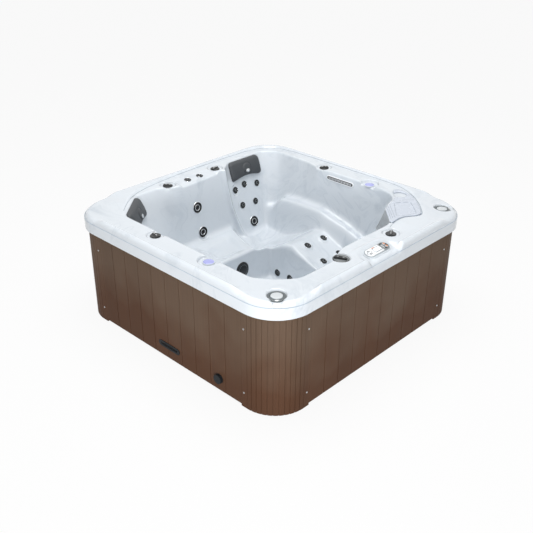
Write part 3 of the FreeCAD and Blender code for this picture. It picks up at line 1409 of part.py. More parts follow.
# Control box on the pan with the heater tube clipped on top
keep(box("control_box", "box_length", "box_width", "box_height", x="box_place - box_length / 2",
         y="box_line - box_width / 2", z="pan_wall"), "control_box")
heater_level = "(pan_wall + box_height + heater_clip + heater_radius)"
heater_start = "(box_place - heater_length / 2)"
heater = [cylinder("heater_drum", "heater_radius", "heater_length", x=heater_start, y="box_line",
                   z=heater_level, turn=along)]
for number, share_text in enumerate(("0.2", "0.8")):
    heater.append(box("heater_clip_%d" % number, "heater_clip * 2", "heater_radius", "heater_clip + heater_radius",
                      x=heater_start + " + heater_length * " + share_text, y="box_line - heater_radius / 2",
                      z="pan_wall + box_height"))
    heater.append(cylinder("heater_union_%d" % number, "heater_radius + jet_nut", "heater_clip * 2",
                           x=heater_start + " + (heater_length - 2 * heater_clip) * %d" % number, y="box_line",
                           z=heater_level, turn=along))
heater_way = cylinder("heater_way", "pipe_radius - port_wall", "heater_length", x=heater_start, y="box_line",
                      z=heater_level, turn=along)
keep(cut("heater_tube", fuse("heater_solid", *heater), heater_way), "heater_tube")


# Pipes as bent tubes: straight runs joined by tangent arcs
def pipe_path(points, bend):
    """Wire through the points, each inner corner rounded by the bend radius."""
    edges = []
    last = points[0]
    for index in range(1, len(points) - 1):
        here = points[index]
        back = points[index - 1] - here
        ahead = points[index + 1] - here
        half_turn = (math.pi - back.getAngle(ahead)) / 2
        reach = bend * math.tan(half_turn)
        back.normalize()
        ahead.normalize()
        middle = here + (back + ahead).normalize() * (bend / math.cos(half_turn) - bend)
        edges.append(Part.LineSegment(last, here + back * reach).toShape())
        edges.append(Part.Arc(here + back * reach, middle, here + ahead * reach).toShape())
        last = here + ahead * reach
    edges.append(Part.LineSegment(last, points[-1]).toShape())
    return Part.Wire(edges)


def pipe(points, radius, wall, bend):
    """Hollow pipe along a path."""
    path = pipe_path(points, bend)
    tubes = []
    for size_now in (radius, radius - wall):
        ring = Part.Wire(Part.makeCircle(size_now, points[0], points[1] - points[0]))
        tubes.append(path.makePipeShell([ring], True, False))
    return tubes[0].cut(tubes[1])


wall_gap = size("seat_gap")
pump_x = size("pump_place") - size("wet_length")
inlet_end = Vector(pump_x - size("port_length") - wall_gap, size("pump_line"), size("pump_axis"))
suction_end = suction_frame.multVec(Vector(0, 0, -size("suction_reach") - wall_gap))
bend = size("pipe_bend")
suction_way = suction_frame.multVec(Vector(0, 0, -size("suction_reach") - size("pipe_side")))
suction_pipe = pipe([suction_end, suction_way, Vector(suction_way.x, size("pump_line"), size("pump_axis")),
                     inlet_end], size("pipe_radius"), size("port_wall"), bend)
outlet_level = size("pump_axis") + size("wet_radius") - size("port_radius")
outlet_end = Vector(pump_x + size("wet_length") / 2,
                    size("pump_line") - size("wet_radius") - size("port_length") / 2 - wall_gap, outlet_level)
heater_height = size("pan_wall") + size("box_height") + size("heater_clip") + size("heater_radius")
heater_left = Vector(size("box_place") - size("heater_length") / 2 - wall_gap, size("box_line"), heater_height)
heater_right = Vector(size("box_place") + size("heater_length") / 2 + wall_gap, size("box_line"), heater_height)
pressure_pipe = pipe([outlet_end, Vector(outlet_end.x, size("box_line"), outlet_level),
                      Vector(outlet_end.x, size("box_line"), heater_height), heater_left],
                     size("pipe_radius"), size("port_wall"), size("short_bend"))
manifold_line = size("manifold_place")
return_pipe = pipe([heater_right, Vector(manifold_line, size("box_line"), heater_height),
                    Vector(manifold_line, size("manifold_start") - wall_gap, heater_height)],
                   size("pipe_radius"), size("port_wall"), bend)
manifold = Part.makeCylinder(size("pipe_radius") * 1.3, size("manifold_length"),
                             Vector(manifold_line, size("manifold_start"), heater_height), Vector(0, 1, 0))
spouts = []
for number in range(int(size("manifold_port_count"))):
    pitch = size("manifold_length") / size("manifold_port_count")
    spouts.append(Part.makeCylinder(size("hose_radius") * 0.7, size("pipe_radius") * 2,
                                    Vector(manifold_line, size("manifold_start") + pitch * (number + 0.5),
                                           heater_height)))
manifold = manifold.multiFuse(spouts)
manifold = manifold.cut(Part.makeCylinder(size("pipe_radius"), size("manifold_length") - size("port_wall"),
                                          Vector(manifold_line, size("manifold_start"), heater_height),
                                          Vector(0, 1, 0)))
drain_back = size("pan_wall") - size("cabinet_half") - size("drain_cap_depth") + size("drain_reach")
drain_end = Vector(size("drain_place"), drain_back + wall_gap, size("drain_level"))
foot_point, foot_normal = wall_spot(Vector(size("drain_outlet"), 0, size("drain_level")), Vector(0, -1, 0))
foot_end = foot_point - foot_normal * (size("shell_wall") + size("jet_clearance"))
foot_way = foot_end - foot_normal * size("hose_bend") * 1.5
drain_hose = pipe([drain_end, Vector(drain_end.x, foot_way.y, drain_end.z), foot_way, foot_end],
                  size("hose_radius"), size("port_wall"), size("hose_bend"))
keep(solid("plumbing_pipes", Part.makeCompound([suction_pipe, pressure_pipe, return_pipe, manifold, drain_hose])),
     "plumbing_pipes")

doc.recompute()
faults = []
for item in doc.Objects:
    if "Invalid" in item.State or "Error" in item.State:
        faults.append("%s is %s" % (item.Label, item.State))
for item in subparts:
    if item.Shape.isNull() or not item.Shape.isValid() or not item.Shape.Solids:
        faults.append("%s has no sound shape" % item.Label)
if faults:
    raise RuntimeError("; ".join(faults))

os.makedirs("parts", exist_ok=True)
for item in subparts:
    item.Shape.exportStep("parts/%s.step" % item.Label)
print("%d sub-parts, %d solids" % (len(subparts), sum(len(item.Shape.Solids) for item in subparts)))
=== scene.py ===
"""Hot tub with a moulded acrylic shell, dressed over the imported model.

All pieces are in metres in the row frame: +Z up, the control panel side at +X, the equipment side at -Y.
The shell is sculpted as one smooth field and turned into a mesh; the small fittings are turned profiles.
"""

from __future__ import annotations

import json
import logging
import math
from dataclasses import dataclass, field
from enum import Enum
from typing import Callable, Sequence

import bmesh
import bpy
import numpy as np
from mathutils import Matrix, Vector

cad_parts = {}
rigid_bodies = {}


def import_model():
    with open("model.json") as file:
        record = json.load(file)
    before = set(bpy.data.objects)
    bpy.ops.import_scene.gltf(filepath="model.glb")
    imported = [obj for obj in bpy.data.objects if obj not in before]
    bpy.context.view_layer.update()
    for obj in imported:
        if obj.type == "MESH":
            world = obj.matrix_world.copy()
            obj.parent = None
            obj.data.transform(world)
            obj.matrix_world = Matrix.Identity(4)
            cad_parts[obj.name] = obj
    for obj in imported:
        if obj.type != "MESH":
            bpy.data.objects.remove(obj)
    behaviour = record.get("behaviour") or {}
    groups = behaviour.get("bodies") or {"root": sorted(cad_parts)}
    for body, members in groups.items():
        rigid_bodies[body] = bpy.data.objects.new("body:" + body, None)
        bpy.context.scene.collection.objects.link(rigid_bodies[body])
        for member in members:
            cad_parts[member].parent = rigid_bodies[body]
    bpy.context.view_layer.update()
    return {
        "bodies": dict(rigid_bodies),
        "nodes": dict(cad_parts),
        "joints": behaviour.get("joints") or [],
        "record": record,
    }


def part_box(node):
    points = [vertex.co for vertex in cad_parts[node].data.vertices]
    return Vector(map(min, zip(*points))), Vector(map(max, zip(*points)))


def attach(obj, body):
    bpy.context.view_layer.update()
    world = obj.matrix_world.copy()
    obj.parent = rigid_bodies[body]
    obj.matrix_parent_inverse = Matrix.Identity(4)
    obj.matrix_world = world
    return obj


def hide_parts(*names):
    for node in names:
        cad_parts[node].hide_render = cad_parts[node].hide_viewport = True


LOG = logging.getLogger("hot_tub")
MM = 0.001
Colour = tuple[float, float, float]
Place = tuple[float, float, float]
Points = Sequence[tuple[float, float]]
Outline = list[tuple[float, float]]
Span = tuple[float, float]
Grid = np.ndarray
Material = bpy.types.Material
Node = bpy.types.Node
Socket = bpy.types.NodeSocket


# Shader building

MIX_FACTOR, MIX_FIRST, MIX_SECOND, MIX_RESULT = 0, 6, 7, 2
BUMP_DEPTH = 0.0004


class Tree:
    """Short hand for adding nodes to a node tree."""

    def __init__(self, tree: bpy.types.NodeTree) -> None:
        """Wrap a node tree.

        Args:
            tree: The tree that nodes are added to.
        """
        self.tree = tree

    def fill(self, node: Node, inputs: dict[str | int, object]) -> None:
        """Set a node's input sockets, and link those whose value is an output socket.

        Args:
            node: The node.
            inputs: Values or output sockets by socket name or index.
        """
        for key, value in inputs.items():
            if isinstance(value, Socket):
                self.tree.links.new(value, node.inputs[key])
            else:
                node.inputs[key].default_value = value

    def add(self, kind: str, inputs: dict[str | int, object] | None = None,
            **settings: object) -> Node:
        """Add a node, set its properties and fill its sockets.

        Args:
            kind: Node type name without the ShaderNode prefix.
            inputs: Values or output sockets by socket name or index.
            settings: Node properties.

        Returns:
            The new node.
        """
        node = self.tree.nodes.new(kind if kind.startswith("Node") else "ShaderNode" + kind)
        for name, value in settings.items():
            setattr(node, name, value)
        self.fill(node, inputs or {})
        return node

    def maths(self, operation: str, first: object, second: object = 0.0, third: object = 0.0,
              clamp: bool = False) -> Socket:
        """Result of a Math node."""
        inputs = {0: first, 1: second, 2: third}
        return self.add("Math", inputs, operation=operation, use_clamp=clamp).outputs[0]

    def remap(self, value: object, low: float, high: float, to_low: float = 0.0,
              to_high: float = 1.0) -> Socket:
        """Clamped linear change of range."""
        inputs = {"Value": value, "From Min": low, "From Max": high, "To Min": to_low, "To Max": to_high}
        return self.add("MapRange", inputs).outputs[0]

    def mix(self, factor: object, first: object, second: object,
            blend_type: str = "MIX") -> Socket:
        """Mix of two colours."""
        inputs = {MIX_FACTOR: factor, MIX_FIRST: first, MIX_SECOND: second}
        return self.add("Mix", inputs, data_type="RGBA", blend_type=blend_type).outputs[MIX_RESULT]

    def tint(self, colour: object, shade: object, change: object) -> Socket:
        """Colour made lighter or darker by a shade, of which 0 leaves it as it is."""
        factor = self.maths("MULTIPLY_ADD", shade, change, 1.0)
        grey = self.add("CombineColor", {0: factor, 1: factor, 2: factor}).outputs[0]
        return self.mix(1.0, colour, grey, "MULTIPLY")

    def emboss(self, shader: Node, height: object, strength: float,
               depth: float = BUMP_DEPTH) -> None:
        """Give a shader a fine relief."""
        bump = self.add("Bump", {"Height": height, "Strength": strength, "Distance": depth})
        self.fill(shader, {"Normal": bump.outputs[0]})

    def plainly_seen(self) -> Socket:
        """1 for rays from the camera, a mirroring or a clear surface, 0 for the soft light."""
        path = self.add("LightPath").outputs
        seen = self.maths("MAXIMUM", path["Is Camera Ray"], path["Is Glossy Ray"])
        return self.maths("MAXIMUM", seen, path["Is Transmission Ray"])


def rgba(colour: Colour) -> tuple[float, float, float, float]:
    """Colour with full alpha."""
    return (*colour, 1.0)


def new_group(name: str, inputs: dict[str, object],
              outputs: Sequence[str]) -> tuple[Tree, dict[str, Socket], Node]:
    """Start a shader node group with named sockets.

    Args:
        name: Group name.
        inputs: Default value by input name; a tuple makes a colour socket.
        outputs: Output names; the one called Color is a colour socket.

    Returns:
        The group's tree, its input sockets by name, and its output node.
    """
    group = bpy.data.node_groups.new(name, "ShaderNodeTree")
    for label, value in inputs.items():
        kind = "NodeSocketColor" if isinstance(value, tuple) else "NodeSocketFloat"
        group.interface.new_socket(label, in_out="INPUT", socket_type=kind).default_value = value
    for label in outputs:
        kind = "NodeSocketColor" if label == "Color" else "NodeSocketFloat"
        group.interface.new_socket(label, in_out="OUTPUT", socket_type=kind)
    tree = Tree(group)
    source = tree.add("NodeGroupInput")
    return tree, {item.name: item for item in source.outputs}, tree.add("NodeGroupOutput")


class Effects:
    """Shared shader effects, each one built once as a node group."""

    def __init__(self) -> None:
        """Build all groups."""
        self.marble = self._marble()
        self.wear = self._wear()
        self.plank = self._plank()
        self.brushed = self._brushed()

    @staticmethod
    def _marble() -> bpy.types.NodeTree:
        """Soft streaks like those poured into acrylic sheet.

        Returns:
            Group with the streaked colour and the streak mask.
        """
        tree, given, out = new_group(
            "Marble", {"Base": rgba((0.8, 0.8, 0.8)), "Vein": rgba((0.6, 0.65, 0.7)), "Scale": 2.0,
                       "Amount": 0.5}, ("Color", "Mask"))
        place = tree.add("TexCoord").outputs["Object"]
        drift = tree.add("TexNoise", {"Vector": place, "Scale": given["Scale"], "Detail": 3.0,
                                      "Distortion": 1.5})
        bent = tree.add("VectorMath", {0: drift.outputs["Color"], 1: (0.9, 0.9, 0.9)}, operation="MULTIPLY")
        moved = tree.add("VectorMath", {0: place, 1: bent.outputs[0]}, operation="ADD")
        turned = tree.add("Mapping", {"Vector": moved.outputs[0], "Rotation": (0.3, 0.2, 0.9),
                                      "Scale": (0.7, 3.2, 1.6)})
        streak = tree.add("TexNoise", {"Vector": turned.outputs[0], "Scale": given["Scale"], "Detail": 6.0,
                                       "Roughness": 0.62, "Distortion": 0.8})
        mask = tree.remap(streak.outputs["Fac"], 0.5, 0.72)
        cloud = tree.add("TexNoise", {"Vector": place, "Scale": 1.4, "Detail": 2.0})
        mask = tree.maths("MULTIPLY", mask, tree.remap(cloud.outputs["Fac"], 0.35, 0.6, 0.25, 1.0))
        mask = tree.maths("MULTIPLY", mask, given["Amount"], clamp=True)
        tree.fill(out, {"Color": tree.mix(mask, given["Base"], given["Vein"]), "Mask": mask})
        return tree.tree

    @staticmethod
    def _wear() -> bpy.types.NodeTree:
        """Fine grain, handling smudges and dust for moulded and painted pieces.

        Returns:
            Group with the changed colour, a roughness and a bump height.
        """
        tree, given, out = new_group(
            "Wear", {"Base": rgba((0.5, 0.5, 0.5)), "Dust": rgba((0.6, 0.58, 0.55)), "Grain": 900.0,
                     "Change": 0.08, "Roughness": 0.4, "Dustiness": 0.05}, ("Color", "Roughness", "Height"))
        place = tree.add("TexCoord").outputs["Object"]
        fine = tree.add("TexNoise", {"Vector": place, "Scale": given["Grain"], "Detail": 2.0}).outputs["Fac"]
        smudges = tree.add("TexNoise", {"Vector": place, "Scale": 14.0, "Detail": 5.0, "Roughness": 0.6})
        broad = smudges.outputs["Fac"]
        shade = tree.remap(broad, 0.3, 0.7, -1.0, 1.0)
        tinted = tree.tint(given["Base"], shade, given["Change"])
        upward = tree.add("SeparateXYZ", {0: tree.add("NewGeometry").outputs["Normal"]}).outputs[2]
        settled = tree.maths("MULTIPLY", tree.remap(upward, 0.3, 1.0), given["Dustiness"])
        settled = tree.maths("MULTIPLY", settled, tree.remap(broad, 0.35, 0.7), clamp=True)
        rough = tree.maths("MULTIPLY_ADD", shade, 0.06, given["Roughness"])
        rough = tree.maths("ADD", rough, tree.maths("MULTIPLY", settled, 0.4), clamp=True)
        tree.fill(out, {"Color": tree.mix(settled, tinted, given["Dust"]), "Roughness": rough,
                        "Height": fine})
        return tree.tree

    @staticmethod
    def _plank() -> bpy.types.NodeTree:
        """Wood-plastic board: grain drawn upward, redder and darker near the ground.

        Returns:
            Group with colour, roughness and bump height.
        """
        tree, given, out = new_group(
            "Plank", {"High": rgba((0.13, 0.095, 0.075)), "Low": rgba((0.15, 0.07, 0.045)), "Top": 0.7,
                      "Board": 0.144, "Change": 0.1}, ("Color", "Roughness", "Height"))
        place = tree.add("TexCoord").outputs["Object"]
        across, beside, upward = tree.add("SeparateXYZ", {0: place}).outputs
        drawn = tree.add("Mapping", {"Vector": place, "Scale": (130.0, 130.0, 2.2)})
        fibres = tree.add("TexNoise", {"Vector": drawn.outputs[0], "Scale": 1.0, "Detail": 5.0,
                                       "Roughness": 0.65})
        grain = fibres.outputs["Fac"]
        broad = tree.add("TexNoise", {"Vector": place, "Scale": 2.2, "Detail": 2.0}).outputs["Fac"]
        level = tree.maths("DIVIDE", upward, given["Top"])
        level = tree.maths("ADD", level, tree.remap(broad, 0.3, 0.7, -0.28, 0.28))
        colour = tree.mix(tree.remap(level, 0.25, 0.8), given["Low"], given["High"])
        along = tree.maths("ADD", across, beside)
        number = tree.maths("FLOOR", tree.maths("DIVIDE", along, given["Board"]))
        chance = tree.add("TexWhiteNoise", {"W": number}, noise_dimensions="1D").outputs["Value"]
        shade = tree.maths("ADD", tree.remap(grain, 0.25, 0.75, -1.0, 1.0),
                           tree.remap(chance, 0.0, 1.0, -0.5, 0.5))
        tree.fill(out, {"Color": tree.tint(colour, shade, given["Change"]), "Height": grain,
                        "Roughness": tree.remap(grain, 0.2, 0.8, 0.52, 0.68)})
        return tree.tree

    @staticmethod
    def _brushed() -> bpy.types.NodeTree:
        """Fine drawn lines for steel and plated pieces.

        Returns:
            Group with a roughness and a bump height.
        """
        tree, given, out = new_group("Brushed", {"Roughness": 0.2, "Spread": 0.1}, ("Roughness", "Height"))
        place = tree.add("TexCoord").outputs["Object"]
        drawn = tree.add("Mapping", {"Vector": place, "Scale": (40.0, 1400.0, 1400.0)})
        lines = tree.add("TexNoise", {"Vector": drawn.outputs[0], "Scale": 1.0, "Detail": 3.0}).outputs["Fac"]
        rough = tree.maths("MULTIPLY", tree.remap(lines, 0.25, 0.75, -1.0, 1.0), given["Spread"])
        rough = tree.maths("ADD", rough, given["Roughness"], clamp=True)
        tree.fill(out, {"Roughness": rough, "Height": lines})
        return tree.tree


def new_material(name: str) -> tuple[Material, Tree, Node]:
    """New node material.

    Args:
        name: Material name.

    Returns:
        The material, its tree and its Principled BSDF.
    """
    material = bpy.data.materials.new(name)
    material.use_nodes = True
    return material, Tree(material.node_tree), material.node_tree.nodes["Principled BSDF"]


class Family(Enum):
    """What a finish is made of."""

    MOULDED = "moulded"
    METAL = "metal"
    GLOW = "glow"


@dataclass(frozen=True)
class Finish:
    """A moulded, painted, plated or softly glowing finish."""

    name: str
    colour: Colour
    roughness: float = 0.4
    family: Family = Family.MOULDED
    grain: float = 900.0
    change: float = 0.06
    dust: float = 0.04
    bump: float = 0.04
    coat: float = 0.0
    gloss: float = 0.5
    glow: float = 0.35
    smudge_tone: float = 0.82

    def build(self, effects: Effects) -> Material:
        """Make the material.

        Args:
            effects: Shared node groups.

        Returns:
            The finished material.
        """
        material, tree, shader = new_material(self.name)
        if self.family is Family.METAL:
            surface = tree.add("Group", {"Roughness": self.roughness, "Spread": self.change},
                               node_tree=effects.brushed).outputs
            smudge = tree.add("TexNoise", {"Scale": 30.0, "Detail": 4.0}).outputs["Fac"]
            dull = tuple(part * self.smudge_tone for part in self.colour)
            tone = tree.mix(tree.remap(smudge, 0.4, 0.7), rgba(self.colour), rgba(dull))
            tree.fill(shader, {"Base Color": tone, "Metallic": 1.0})
        else:
            surface = tree.add("Group", {
                "Base": rgba(self.colour), "Grain": self.grain, "Change": self.change,
                "Roughness": self.roughness, "Dustiness": self.dust}, node_tree=effects.wear).outputs
            tree.fill(shader, {"Base Color": surface["Color"], "Coat Weight": self.coat,
                               "Specular IOR Level": self.gloss})
            if self.family is Family.GLOW:
                tree.fill(shader, {"Emission Color": surface["Color"], "Emission Strength": self.glow})
        tree.fill(shader, {"Roughness": surface["Roughness"]})
        tree.emboss(shader, surface["Height"], self.bump)
        return material


@dataclass(frozen=True)
class AcrylicFinish:
    """Glossy pale acrylic with faint blue-grey streaks."""

    name: str = "acrylic"
    base: Colour = (0.68, 0.725, 0.77)
    vein: Colour = (0.46, 0.52, 0.585)
    amount: float = 0.6

    def build(self, effects: Effects) -> Material:
        """Make the material.

        Args:
            effects: Shared node groups.

        Returns:
            The finished material.
        """
        material, tree, shader = new_material(self.name)
        marble = tree.add("Group", {"Base": rgba(self.base), "Vein": rgba(self.vein),
                                    "Amount": self.amount}, node_tree=effects.marble).outputs
        tree.fill(shader, {"Base Color": marble["Color"], "Coat Weight": 0.3, "Coat Roughness": 0.05,
                           "Roughness": tree.remap(marble["Mask"], 0.0, 0.6, 0.16, 0.24)})
        peel = tree.add("TexNoise", {"Scale": 160.0, "Detail": 1.0})
        tree.emboss(shader, peel.outputs["Fac"], 0.04)
        return material


@dataclass(frozen=True)
class PlankFinish:
    """Brown wood-plastic boards."""

    name: str = "planks"
    high: Colour = (0.113, 0.073, 0.049)
    low: Colour = (0.078, 0.036, 0.019)

    def build(self, effects: Effects) -> Material:
        """Make the material.

        Args:
            effects: Shared node groups.

        Returns:
            The finished material.
        """
        material, tree, shader = new_material(self.name)
        plank = tree.add("Group", {"High": rgba(self.high), "Low": rgba(self.low)},
                         node_tree=effects.plank).outputs
        tree.fill(shader, {"Base Color": plank["Color"], "Roughness": plank["Roughness"],
                           "Specular IOR Level": 0.14})
        tree.emboss(shader, plank["Height"], 0.25, 0.0006)
        return material


@dataclass(frozen=True)
class TimberFinish:
    """Pale sawn softwood of the hidden frame."""

    name: str = "timber"
    early: Colour = (0.56, 0.40, 0.24)
    late: Colour = (0.38, 0.24, 0.12)

    def build(self, effects: Effects) -> Material:
        """Make the material.

        Args:
            effects: Shared node groups.

        Returns:
            The finished material.
        """
        material, tree, shader = new_material(self.name)
        place = tree.add("TexCoord").outputs["Object"]
        drawn = tree.add("Mapping", {"Vector": place, "Scale": (26.0, 26.0, 1.6)})
        rings = tree.add("TexWave", {"Vector": drawn.outputs[0], "Scale": 0.6, "Distortion": 5.0,
                                     "Detail": 3.0}).outputs["Fac"]
        colour = tree.mix(tree.remap(rings, 0.35, 0.9), rgba(self.early), rgba(self.late))
        grain = tree.add("Group", {"Base": colour, "Roughness": 0.75}, node_tree=effects.wear).outputs
        tree.fill(shader, {"Base Color": grain["Color"], "Roughness": grain["Roughness"]})
        tree.emboss(shader, rings, 0.2, 0.001)
        return material


class Palette:
    """All materials of the tub by name."""

    def __init__(self) -> None:
        """Build the effects and every material."""
        effects = Effects()
        finishes = [
            AcrylicFinish(), PlankFinish(), TimberFinish(),
            Finish("black_plastic", (0.009, 0.010, 0.011), 0.32, coat=0.12, dust=0.02, gloss=0.4),
            Finish("black_matt", (0.010, 0.011, 0.012), 0.5, bump=0.12, dust=0.01, gloss=0.25),
            Finish("vent_black", (0.010, 0.012, 0.014), 0.5, dust=0.0, gloss=0.16),
            Finish("dark_rubber", (0.042, 0.047, 0.053), 0.5, grain=2400.0, bump=0.18, dust=0.02),
            Finish("grey_plastic", (0.33, 0.37, 0.40), 0.35, coat=0.15),
            Finish("pale_grey_plastic", (0.62, 0.67, 0.71), 0.3, coat=0.2),
            Finish("lid_plastic", (0.56, 0.61, 0.69), 0.26, coat=0.2, change=0.01, bump=0.01),
            Finish("white_plastic", (0.62, 0.65, 0.67), 0.36),
            # frame_white is brighter than the acrylic; on the waterfall's frame and bars that is partly
            # painted highlight.
            Finish("frame_white", (0.90, 0.92, 0.94), 0.25, coat=0.3, change=0.02),
            Finish("ring_grey", (0.10, 0.118, 0.125), 0.32, coat=0.2),
            Finish("dial_grey", (0.19, 0.205, 0.21), 0.4),
            # line_grey is painted shade where it lines the foot of the bolster and the edges of the lid's
            # inset.
            Finish("line_grey", (0.24, 0.285, 0.33), 0.45),
            Finish("seam_grey", (0.38, 0.46, 0.55), 0.4),
            Finish("dark_line", (0.12, 0.14, 0.15), 0.5),
            Finish("chrome", (0.80, 0.82, 0.84), 0.12, Family.METAL, change=0.04, bump=0.02),
            Finish("steel", (0.62, 0.63, 0.64), 0.3, Family.METAL, change=0.1),
            Finish("lavender_lens", (0.27, 0.29, 0.58), 0.16, Family.GLOW, coat=0.5, change=0.05),
            Finish("screen_white", (0.90, 0.92, 0.93), 0.2, Family.GLOW, coat=0.4, change=0.02, dust=0.0),
            Finish("mark_orange", (0.72, 0.26, 0.10), 0.4),
            Finish("pan_plastic", (0.035, 0.036, 0.038), 0.62, bump=0.2),
            Finish("motor_paint", (0.05, 0.06, 0.075), 0.42, bump=0.1, dust=0.12),
            Finish("box_paint", (0.36, 0.38, 0.39), 0.45, bump=0.15),
            Finish("filter_cloth", (0.80, 0.82, 0.84), 0.85, grain=1600.0, bump=0.3),
        ]
        self.named = {finish.name: finish.build(effects) for finish in finishes}

    def __getitem__(self, name: str) -> Material:
        """Material by name."""
        return self.named[name]


# Mesh building

def place_object(name: str, data: bpy.types.ID) -> bpy.types.Object:
    """New object in the scene."""
    item = bpy.data.objects.new(name, data)
    bpy.context.scene.collection.objects.link(item)
    return item


@dataclass
class Surface:
    """Sculpted surface: vertices in millimetres, quads and vertex normals."""

    verts: Grid
    quads: Grid
    normals: Grid


@dataclass
class Workshop:
    """What every sub-assembly needs: the frame and the materials."""

    frame: dict
    palette: Palette

    def body(self, node: str) -> str:
        """Body that carries a CAD node."""
        bodies = self.frame["record"]["behaviour"]["bodies"]
        return next(body for body, nodes in bodies.items() if node in nodes)

    def joint(self, node: str) -> dict:
        """Joint that moves a CAD node."""
        body = self.body(node)
        return next(joint for joint in self.frame["joints"] if joint["child"] == body)

    def place(self, node: str) -> Matrix:
        """Local frame of a hinged node, in millimetres."""
        joint = self.joint(node)
        return frame_at([share / MM for share in joint["pos_m"]], joint["axis"])

    def middle(self, node: str) -> Vector:
        """Middle of a node's box, in millimetres."""
        low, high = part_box(node)
        return (low + high) / (2.0 * MM)

    def nodes(self, start: str) -> list[str]:
        """CAD nodes whose names start alike, in order."""
        return sorted(name for name in self.frame["nodes"] if name.startswith(start))

    def dress(self, node: str, finish: str) -> None:
        """Give a CAD node's own mesh a finish.

        Args:
            node: Name of the node.
            finish: Name of the finish.
        """
        mesh = self.frame["nodes"][node].data
        mesh.materials.clear()
        mesh.materials.append(self.palette[finish])
        mesh.polygons.foreach_set("material_index", [0] * len(mesh.polygons))
        LOG.info("%s: dressed", node)


class Piece:
    """Vertices, faces and finishes gathered for one object, in millimetres."""

    def __init__(self, shop: Workshop, name: str) -> None:
        """Start an empty piece.

        Args:
            shop: Frame and materials.
            name: Name of the object to make.
        """
        self.shop = shop
        self.name = name
        self.verts: list[Vector] = []
        self.faces: list[tuple[int, ...]] = []
        self.slots: list[int] = []
        self.finishes: list[str] = []

    def add(self, verts: Sequence[Vector], faces: Sequence[tuple[int, ...]], finish: str,
            place: Matrix | None = None) -> None:
        """Add a patch of faces.

        Args:
            verts: Corners of the patch.
            faces: Index tuples into verts.
            finish: Finish of the patch.
            place: Matrix from the patch's frame to the tub's.
        """
        start = len(self.verts)
        if finish not in self.finishes:
            self.finishes.append(finish)
        self.verts += [place @ Vector(vert) if place is not None else Vector(vert) for vert in verts]
        self.faces += [tuple(start + index for index in face) for face in faces]
        self.slots += [self.finishes.index(finish)] * len(faces)

    def add_surface(self, surface: Surface, finish: str, place: Matrix) -> None:
        """Add a sculpted surface."""
        self.add(surface.verts.tolist(), surface.quads.tolist(), finish, place)

    def loft(self, rings: Sequence[Sequence[Vector]], finish: str, place: Matrix | None = None,
             closed: bool = False, capped: bool = False) -> None:
        """Add a skin over rings that have equally many points.

        Args:
            rings: Rings of points, in order.
            finish: Finish of the skin.
            place: Matrix from the rings' frame to the tub's.
            closed: Whether the last ring joins the first one.
            capped: Whether the end rings are filled.
        """
        wide, count = len(rings[0]), len(rings)
        faces = []
        for ring in range(count if closed else count - 1):
            here, there = ring * wide, (ring + 1) % count * wide
            for side in range(wide):
                beside = (side + 1) % wide
                faces.append((here + side, here + beside, there + beside, there + side))
        if capped:
            faces += [tuple(range(wide)), tuple(range((count - 1) * wide, count * wide))]
        self.add([point for ring in rings for point in ring], faces, finish, place)

    def turn(self, profile: Points, finish: str, place: Matrix, steps: int = 48) -> None:
        """Add a profile of (radius, height) turned about local Z.

        Args:
            profile: Points of the profile from the axis outward and down; a radius of 0 closes it.
            finish: Finish of the surface.
            place: Matrix from the local frame.
            steps: Divisions round the axis.
        """
        turns = [2.0 * math.pi * step / steps for step in range(steps)]
        rings = [[(radius * math.cos(angle), radius * math.sin(angle), height) for angle in turns]
                 for radius, height in profile]
        self.loft(rings, finish, place)

    def slab(self, outline: Points, low: float, high: float, finish: str, place: Matrix,
             bevel: float = 0.0) -> None:
        """Add an upright slab over an outline, its top edge chamfered in two steps.

        Args:
            outline: Counter-clockwise corners in the local XY plane.
            low: Height of the underside.
            high: Height of the top.
            finish: Finish of the slab.
            place: Matrix from the local frame.
            bevel: Size of the rounded top edge.
        """
        corners = [Vector((x, y, 0.0)) for x, y in outline]
        count = len(corners)
        middle = Vector((sum(x for x, _ in outline) / count, sum(y for _, y in outline) / count, 0.0))
        span = max((corner - middle).length for corner in corners)
        levels = [(0.0, low), (0.0, high)]
        if bevel > 0.0:
            levels = [(0.0, low), (0.0, high - bevel), (0.3 * bevel, high - 0.3 * bevel), (bevel, high)]
        rings = [[middle + (corner - middle) * (1.0 - inset / span) + Vector((0.0, 0.0, height))
                  for corner in corners] for inset, height in levels]
        self.loft(rings, finish, place, capped=True)

    def make(self, node: str, slot: str | None = None, smooth: float = 35.0) -> bpy.types.Object:
        """Make the object, ride it on its node's body and let it stand for the node.

        Args:
            node: CAD node that it replaces, or lies on if a slot is given.
            slot: When given, the piece replaces no node and the node stays shown; its text is not used.
            smooth: Angle in degrees below which edges shade smooth.

        Returns:
            The new object.
        """
        mesh = bpy.data.meshes.new(self.name)
        mesh.from_pydata([tuple(vert * MM) for vert in self.verts], [], self.faces)
        for finish in self.finishes:
            mesh.materials.append(self.shop.palette[finish])
        mesh.polygons.foreach_set("material_index", self.slots)
        work = bmesh.new()
        work.from_mesh(mesh)
        bmesh.ops.remove_doubles(work, verts=work.verts, dist=1e-6)
        bmesh.ops.recalc_face_normals(work, faces=work.faces)
        for face in work.faces:
            face.smooth = True
        limit = math.radians(smooth)
        for edge in work.edges:
            edge.smooth = len(edge.link_faces) == 2 and edge.calc_face_angle(0.0) < limit
        work.to_mesh(mesh)
        work.free()
        item = place_object(self.name, mesh)
        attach(item, self.shop.body(node))
        if slot is None:
            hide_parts(node)
        LOG.info("%s: %d faces", self.name, len(mesh.polygons))
        return item


